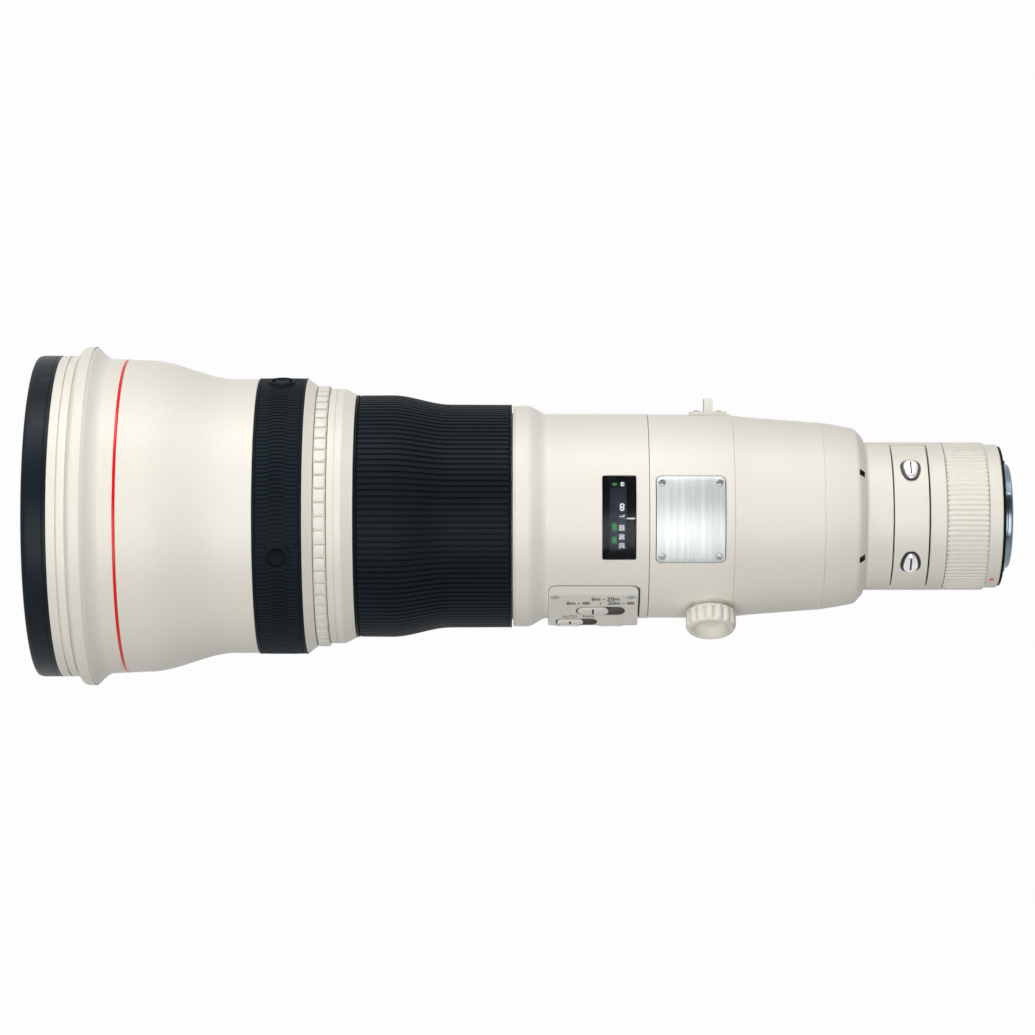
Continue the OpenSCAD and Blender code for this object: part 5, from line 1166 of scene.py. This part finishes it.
def knob_ring(radius, depth):
    """A fluted circle: broad ribs with narrow, rounded flutes between them."""
    def reach(t):
        wave = 0.5 + 0.5 * math.cos(knob_lobes * t)
        return radius - depth * (1 - wave) ** flute_shape
    return polar(180, reach)


knob_paint = stoved_paint("knob_paint", shade(230, 227, 216), shade(208, 204, 192), 0.4)
screw_end = 49.0 - knob_root
lock_knob = stacked("lock_knob_fluted", standing(knob_place, [
    (knob_ring(radius, depth), knob_root + height) for radius, depth, height in (
        (3.0, 0, screw_end), (3.0, 0, 0), (7.5, 0, 0), (7.5, 0, 1.4), (11.2, 0, 1.4), (11.8, 0, 1.8),
        (11.95, 0, 2.4), (11.95, 1.6, 2.75), (11.95, 1.6, 8.0), (11.7, 1.2, 8.9), (11.3, 0.3, 9.4),
        (10.9, 0, 9.9), (10.2, 0, 10.25), (9.2, 0, 10.3), (8.7, 0, 10.05), (8.5, 0, 9.3), (8.35, 0, 6.6),
        (7.9, 0, 5.7), (7.0, 0, 5.3), (4.5, 0, 5.1), (2.0, 0, 5.1),
    )]), knob_paint, 42)
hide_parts("lock_knob")
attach(lock_knob, "knob")
clamp_pad = from_solid("clamp_pad", "clamp_pad_block", black_moulding, 0.2)
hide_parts("clamp_pad")
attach(clamp_pad, "clamp")

# Tapered barrel: a painted tube that narrows from the collar to the rear cover, with a low
# step behind the collar.
rear_paint = stoved_paint("rear_paint", shade(231, 227, 217), shade(211, 206, 194), 0.42)
taper_barrel = turned("taper_barrel_shell", eased([
    (-128.4, 45.6), (-128.4, 48.4, 0.2), (-127.6, 48.45, 0.4), (-120.9, 47.65, 0.3), (-120.5, 47.6, 0.2),
    (-85.62, 45.0, 0.12), (-85.62, 42.0), (-124.0, 42.0), (-124.0, 45.6),
]), rear_paint, 360)
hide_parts("taper_barrel")
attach(taper_barrel, "barrel")

# Rear cover: a painted cap with a soft bevel down to the neck. Four notches in the bevel take
# the fitter's spanner.
rear_cover = turned("rear_cover_cap", eased([
    (-85.57, 43.35), (-85.57, 45.0, 0.12), (-80.2, 44.25, 1.5), (-74.5, 43.2, 2.0), (-69.0, 42.1, 1.3),
    (-65.4, 38.0, 0.7), (-65.3, 37.4, 0.3), (-65.3, 35.66), (-69.4, 35.66), (-69.4, 40.4),
]), rear_paint, 360)
# The cutters leave black moulding on the notches' walls and floors: painted shade, as the notches are only
# in shadow.
notch_x, notch_len, notch_w, notch_floor = -67.6, 2.8, 3.3, 37.9
notches = []
for clock in (30, 150, 210, 330):
    notches.append(raised("notch_cutter", lambda inset: oblong(notch_len, notch_w, 0.4, inset, 3), [
        (notch_floor, 0), (46.0, 0)], laid(notch_x, clock), black_moulding))
cut(rear_cover, notches)
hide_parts("rear_cover")
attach(rear_cover, "barrel")

# Neck: a painted tube between the rear cover and the mount, with an opening milled over its
# upper side for the filter drawer.
neck_barrel = turned("neck_barrel_tube", eased([
    (-85.6, 32.6), (-85.6, 42.6), (-82.6, 42.6), (-82.6, 35.6), (-27.45, 35.6, 0.2), (-27.4, 33.6),
    (-7.1, 33.6), (-7.1, 30.0), (-31.0, 30.0), (-31.0, 32.6),
]), rear_paint, 360)
opening, opening_turn = [(-52.9, 30.6), (-52.9, 36.6), (-35.0, 36.6), (-35.0, 30.6)], 72.6
drawer_cutter = turned("drawer_cutter", opening, rear_paint, 120, -opening_turn, opening_turn)
cut(neck_barrel, [drawer_cutter])
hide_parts("neck_barrel")
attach(neck_barrel, "barrel")

# Filter drawer: a curved cover over a ring frame with a flat filter glass. The cover has eased
# edges and a rounded recess round each release button.
drawer_paint = stoved_paint("drawer_paint", shade(233, 229, 219), shade(212, 207, 195), 0.4)
drawer_middle, cover_x0, cover_x1 = -43.95, -52.15, -35.8
drawer_cover = turned("drawer_cover", eased([
    (cover_x0, 33.0), (cover_x0, 35.6, 0.4), (cover_x1, 35.6, 0.4), (cover_x1, 33.0),
]), drawer_paint, 150, -71.9, 71.9)


def egg(length, width, inset):
    """A release button's outline: a round outer end, and sides that close in towards the lens's top."""
    points = []
    for k in range(40):
        t = 2 * math.pi * k / 40
        v = math.copysign(abs(math.sin(t)) ** 0.85, math.sin(t))
        u = math.copysign(abs(math.cos(t)) ** 0.7, math.cos(t))
        u = u * (0.9 + 0.22 * v) * (1.0 - 0.1 * max(v, 0) ** 2)
        points.append((u * (length / 2 - inset), v * (width / 2 - inset)))
    return points


def release_place(side):
    """Where a release button stands: its round end points away from the top."""
    turn = Matrix.Identity(4) if side > 0 else Matrix.Scale(-1, 4, (0, 1, 0))
    return laid(drawer_middle, side * 39.0) @ turn


recess_shift = Matrix.Translation((0, -0.75, 0))
recess_cutters = []
for side in (-1, 1):
    recess_cutters.append(raised("recess_cutter", lambda inset: egg(10.6, 13.7, inset), [
        (34.15, 0.1), (34.9, 0.1), (35.35, 0.0), (35.75, -0.45), (37.0, -0.45),
    ], release_place(side) @ recess_shift, drawer_paint))
cut(drawer_cover, recess_cutters)
drawer_frame = stacked("drawer_frame", [
    [(x, r * math.sin(2 * math.pi * k / 120), r * math.cos(2 * math.pi * k / 120)) for k in range(120)]
    for x, r in ((-49.45, 28.2), (-49.15, 28.5), (-38.75, 28.5), (-38.45, 28.2), (-38.45, 25.45),
                 (-47.45, 25.45), (-47.45, 24.0), (-49.45, 24.0))
], drawer_paint, 34, True)
web_outline = [(-28.4, 2.0), (-27.0, 16.4), (-20.0, 24.4), (-10.0, 31.8), (0.0, 33.3), (10.0, 31.8),
               (20.0, 24.4), (27.0, 16.4), (28.4, 2.0)]
web_outline += [(28.4 * math.sin(math.radians(a)), 28.4 * math.cos(math.radians(a)))
                for a in range(80, -81, -10)]
drawer_web = stacked("drawer_web", [[(x, y, z) for y, z in web_outline] for x in (-49.4, -38.5)],
                     drawer_paint)
drawer = joined([drawer_cover, drawer_frame, drawer_web], "filter_drawer_painted")
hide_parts("filter_holder")
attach(drawer, "filter_drawer")
clear_glass = coated_glass("filter_clear_glass", (0.97, 0.985, 0.98, 1.0), (0.8, 0.85, 0.95, 1.0))
filter_glass = spun("filter_glass_disc", [
    (0, -47.4), (25.2, -47.4), (25.4, -47.2), (25.4, -45.6), (25.2, -45.4), (0, -45.4),
], mount_face, clear_glass, 96)
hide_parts("filter_glass")
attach(filter_glass, "filter_drawer")

# Release buttons: two bright plated, egg-shaped domes that are pressed towards each other to
# free the drawer. A black line along each middle is painted shade for a groove, and a black cup
# round each dome is painted shade for the shadow round its edge.
bright_plate = bare_metal("bright_plate", shade(240, 240, 240), shade(214, 215, 216), 0.3, None, 500.0)
for side, node, body in ((-1, "release_button_left", "release_left"),
                         (1, "release_button_right", "release_right")):
    place = release_place(side)
    dome = raised(node + "_dome", lambda inset: egg(7.8, 10.8, inset), [
        (34.3, 0.0), (35.2, 0.0), (35.9, 0.25), (36.3, 0.75), (36.5, 1.5), (36.6, 2.6),
    ], place, bright_plate, 40)
    # A thin strip of black moulding: painted shade for the groove along the dome.
    groove = raised(node + "_line", lambda inset: oblong(0.9, 7.0, 0.4, inset, 3), [
        (36.0, 0), (36.66, 0), (36.72, 0.12)], place, black_moulding)
    # A black cup round the dome: painted shade for the shadow round its edge.
    cup = raised(node + "_cup", lambda inset: egg(10.4, 12.0, inset), [
        (33.25, 0), (34.6, 0), (34.6, 0.35)], place, black_moulding)
    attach(cup, "filter_drawer")
    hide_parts(node)
    for piece in (dome, groove):
        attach(piece, body)

# Rear grip: a painted ring with ninety lengthwise ribs. A deep groove under both ends of the
# ribs shows as a row of dark pits.
rear_grip_base = turned("rear_grip_base", eased([
    (-27.35, 33.65), (-27.35, 34.0, 0.05), (-26.25, 34.0), (-26.2, 35.15), (-7.9, 35.15), (-7.85, 34.1),
    (-7.15, 34.1, 0.05), (-7.15, 33.65),
]), rear_paint, 360)
rib_stations = [(x, 35.1, 0.0) for x in (-27.1, -26.9, -22.0, -17.0, -12.0, -7.4, -7.2)]
rear_grip_ribs = rib("rear_grip_ribs", rib_stations, 1.85, 1.15, 0.47, rear_paint, 35.6)
ringed(rear_grip_ribs, 90, 2.0)
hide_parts("rear_grip")
for piece in (rear_grip_base, rear_grip_ribs):
    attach(piece, "barrel")

# Rear ring: the last painted ring, with the red mounting dot pressed into its back edge and the
# rubber dust seal behind it, which closes on the camera.
rear_ring = turned("rear_ring_painted", eased([
    (-7.05, 27.65), (-7.05, 34.5, 0.25), (-0.95, 34.5, 0.25), (-0.5, 34.1, 0.2), (-0.5, 33.75),
    (-1.5, 33.75), (-1.5, 32.6), (-2.2, 32.6), (-2.2, 27.65),
]), rear_paint, 360)
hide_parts("rear_ring")
dot_enamel, dot_skin, dot_place = start_finish("dot_enamel", shade(226, 52, 20), 0.3)
dot_cloud = noise(dot_enamel, dot_place, 900.0)
dressed(dot_enamel, dot_skin,
        Base_Color=tinted(dot_enamel, dot_cloud, shade(232, 62, 22), shade(206, 34, 14)))
red_dot = spun("mounting_dot", [(0, 33.9), (1.1, 33.9), (1.1, 34.5), (0.9, 34.66), (0, 34.74)],
               laid(-4.2, -61.5), dot_enamel, 28)
seal_rubber = moulded_rubber("seal_rubber", shade(7, 8, 10), shade(24, 26, 28), 0.6, 3000.0)
mount_seal = turned("mount_seal_lip", eased([
    (-1.45, 32.6), (-1.45, 33.65), (0.1, 33.65, 0.1), (0.9, 33.6, 0.25), (0.85, 33.1, 0.2), (0.0, 32.6),
]), seal_rubber, 240)
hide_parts("mount_seal")

# Bayonet mount: a bright plated steel flange with its tube and three locking tabs, and the black
# throat ring that carries the gold-plated contact pins.
mount_steel = bare_metal("mount_steel", shade(134, 146, 156), shade(96, 108, 118), 0.24, (6.0, 1.0, 1.0),
                         400.0)
bayonet = from_solid("bayonet_mount", "bayonet_mount_plated", mount_steel, 0.15)
contact_ring = from_solid("contact_ring", "contact_ring_moulded", black_moulding, 0.15)
gold = bare_metal("contact_gold", shade(222, 180, 92), shade(190, 148, 70), 0.22)
contact_pins = from_solid("contact_pins", "contact_pins_gold", gold, 0.2, 3)
for piece, node, slot in ((bayonet, "bayonet_mount", "bright_metal"),
                          (contact_ring, "contact_ring", "black_plastic"),
                          (contact_pins, "contact_pins", "gold_contacts")):
    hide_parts(node)
for piece in (rear_ring, red_dot, mount_seal, bayonet, contact_ring, contact_pins):
    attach(piece, "barrel")

# Inside: cells and sleeves of blackened aluminium, the motor, the iris, the stabiliser and the
# circuit boards keep their CAD solids and get their real finishes.
motor_steel = bare_metal("motor_steel", shade(178, 180, 184), shade(136, 138, 142), 0.3, (8.0, 1.0, 1.0),
                         500.0)
carriage_metal = bare_metal("carriage_metal", shade(196, 197, 200), shade(158, 160, 163), 0.35, None, 900.0)
board_green, board_skin, board_place = start_finish("board_green", shade(28, 92, 58), 0.35)
board_tracks = wire(board_green, "ShaderNodeTexVoronoi", {"feature": "DISTANCE_TO_EDGE"},
                    Vector=board_place, Scale=420.0).outputs["Distance"]
board_mask = spread(board_green, board_tracks, 0.0, 1.0, 0.04, 0.07)
dressed(board_green, board_skin,
        Base_Color=tinted(board_green, board_mask, shade(64, 132, 84), shade(24, 84, 52)))
blade_black = black_anodised("blade_black", 5200.0)
for finish, names in (
    (anodised, ("front_group_cell", "focus_sleeve", "focus_cell", "rear_cell", "iris_housing",
                "stabiliser_frame", "stabiliser_cell")),
    (lens_glass, ("front_group_glass", "focus_glass", "rear_glass")),
    (motor_steel, ("focus_motor", "iris_ring")), (carriage_metal, ("stabiliser_carriage",)),
    (board_green, ("switch_boards",)), (blade_black, ("iris_blades",)),
):
    for name in names:
        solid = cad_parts[name]
        if solid.material_slots:
            for slot in solid.material_slots:
                slot.material = finish
        else:
            solid.data.materials.append(finish)
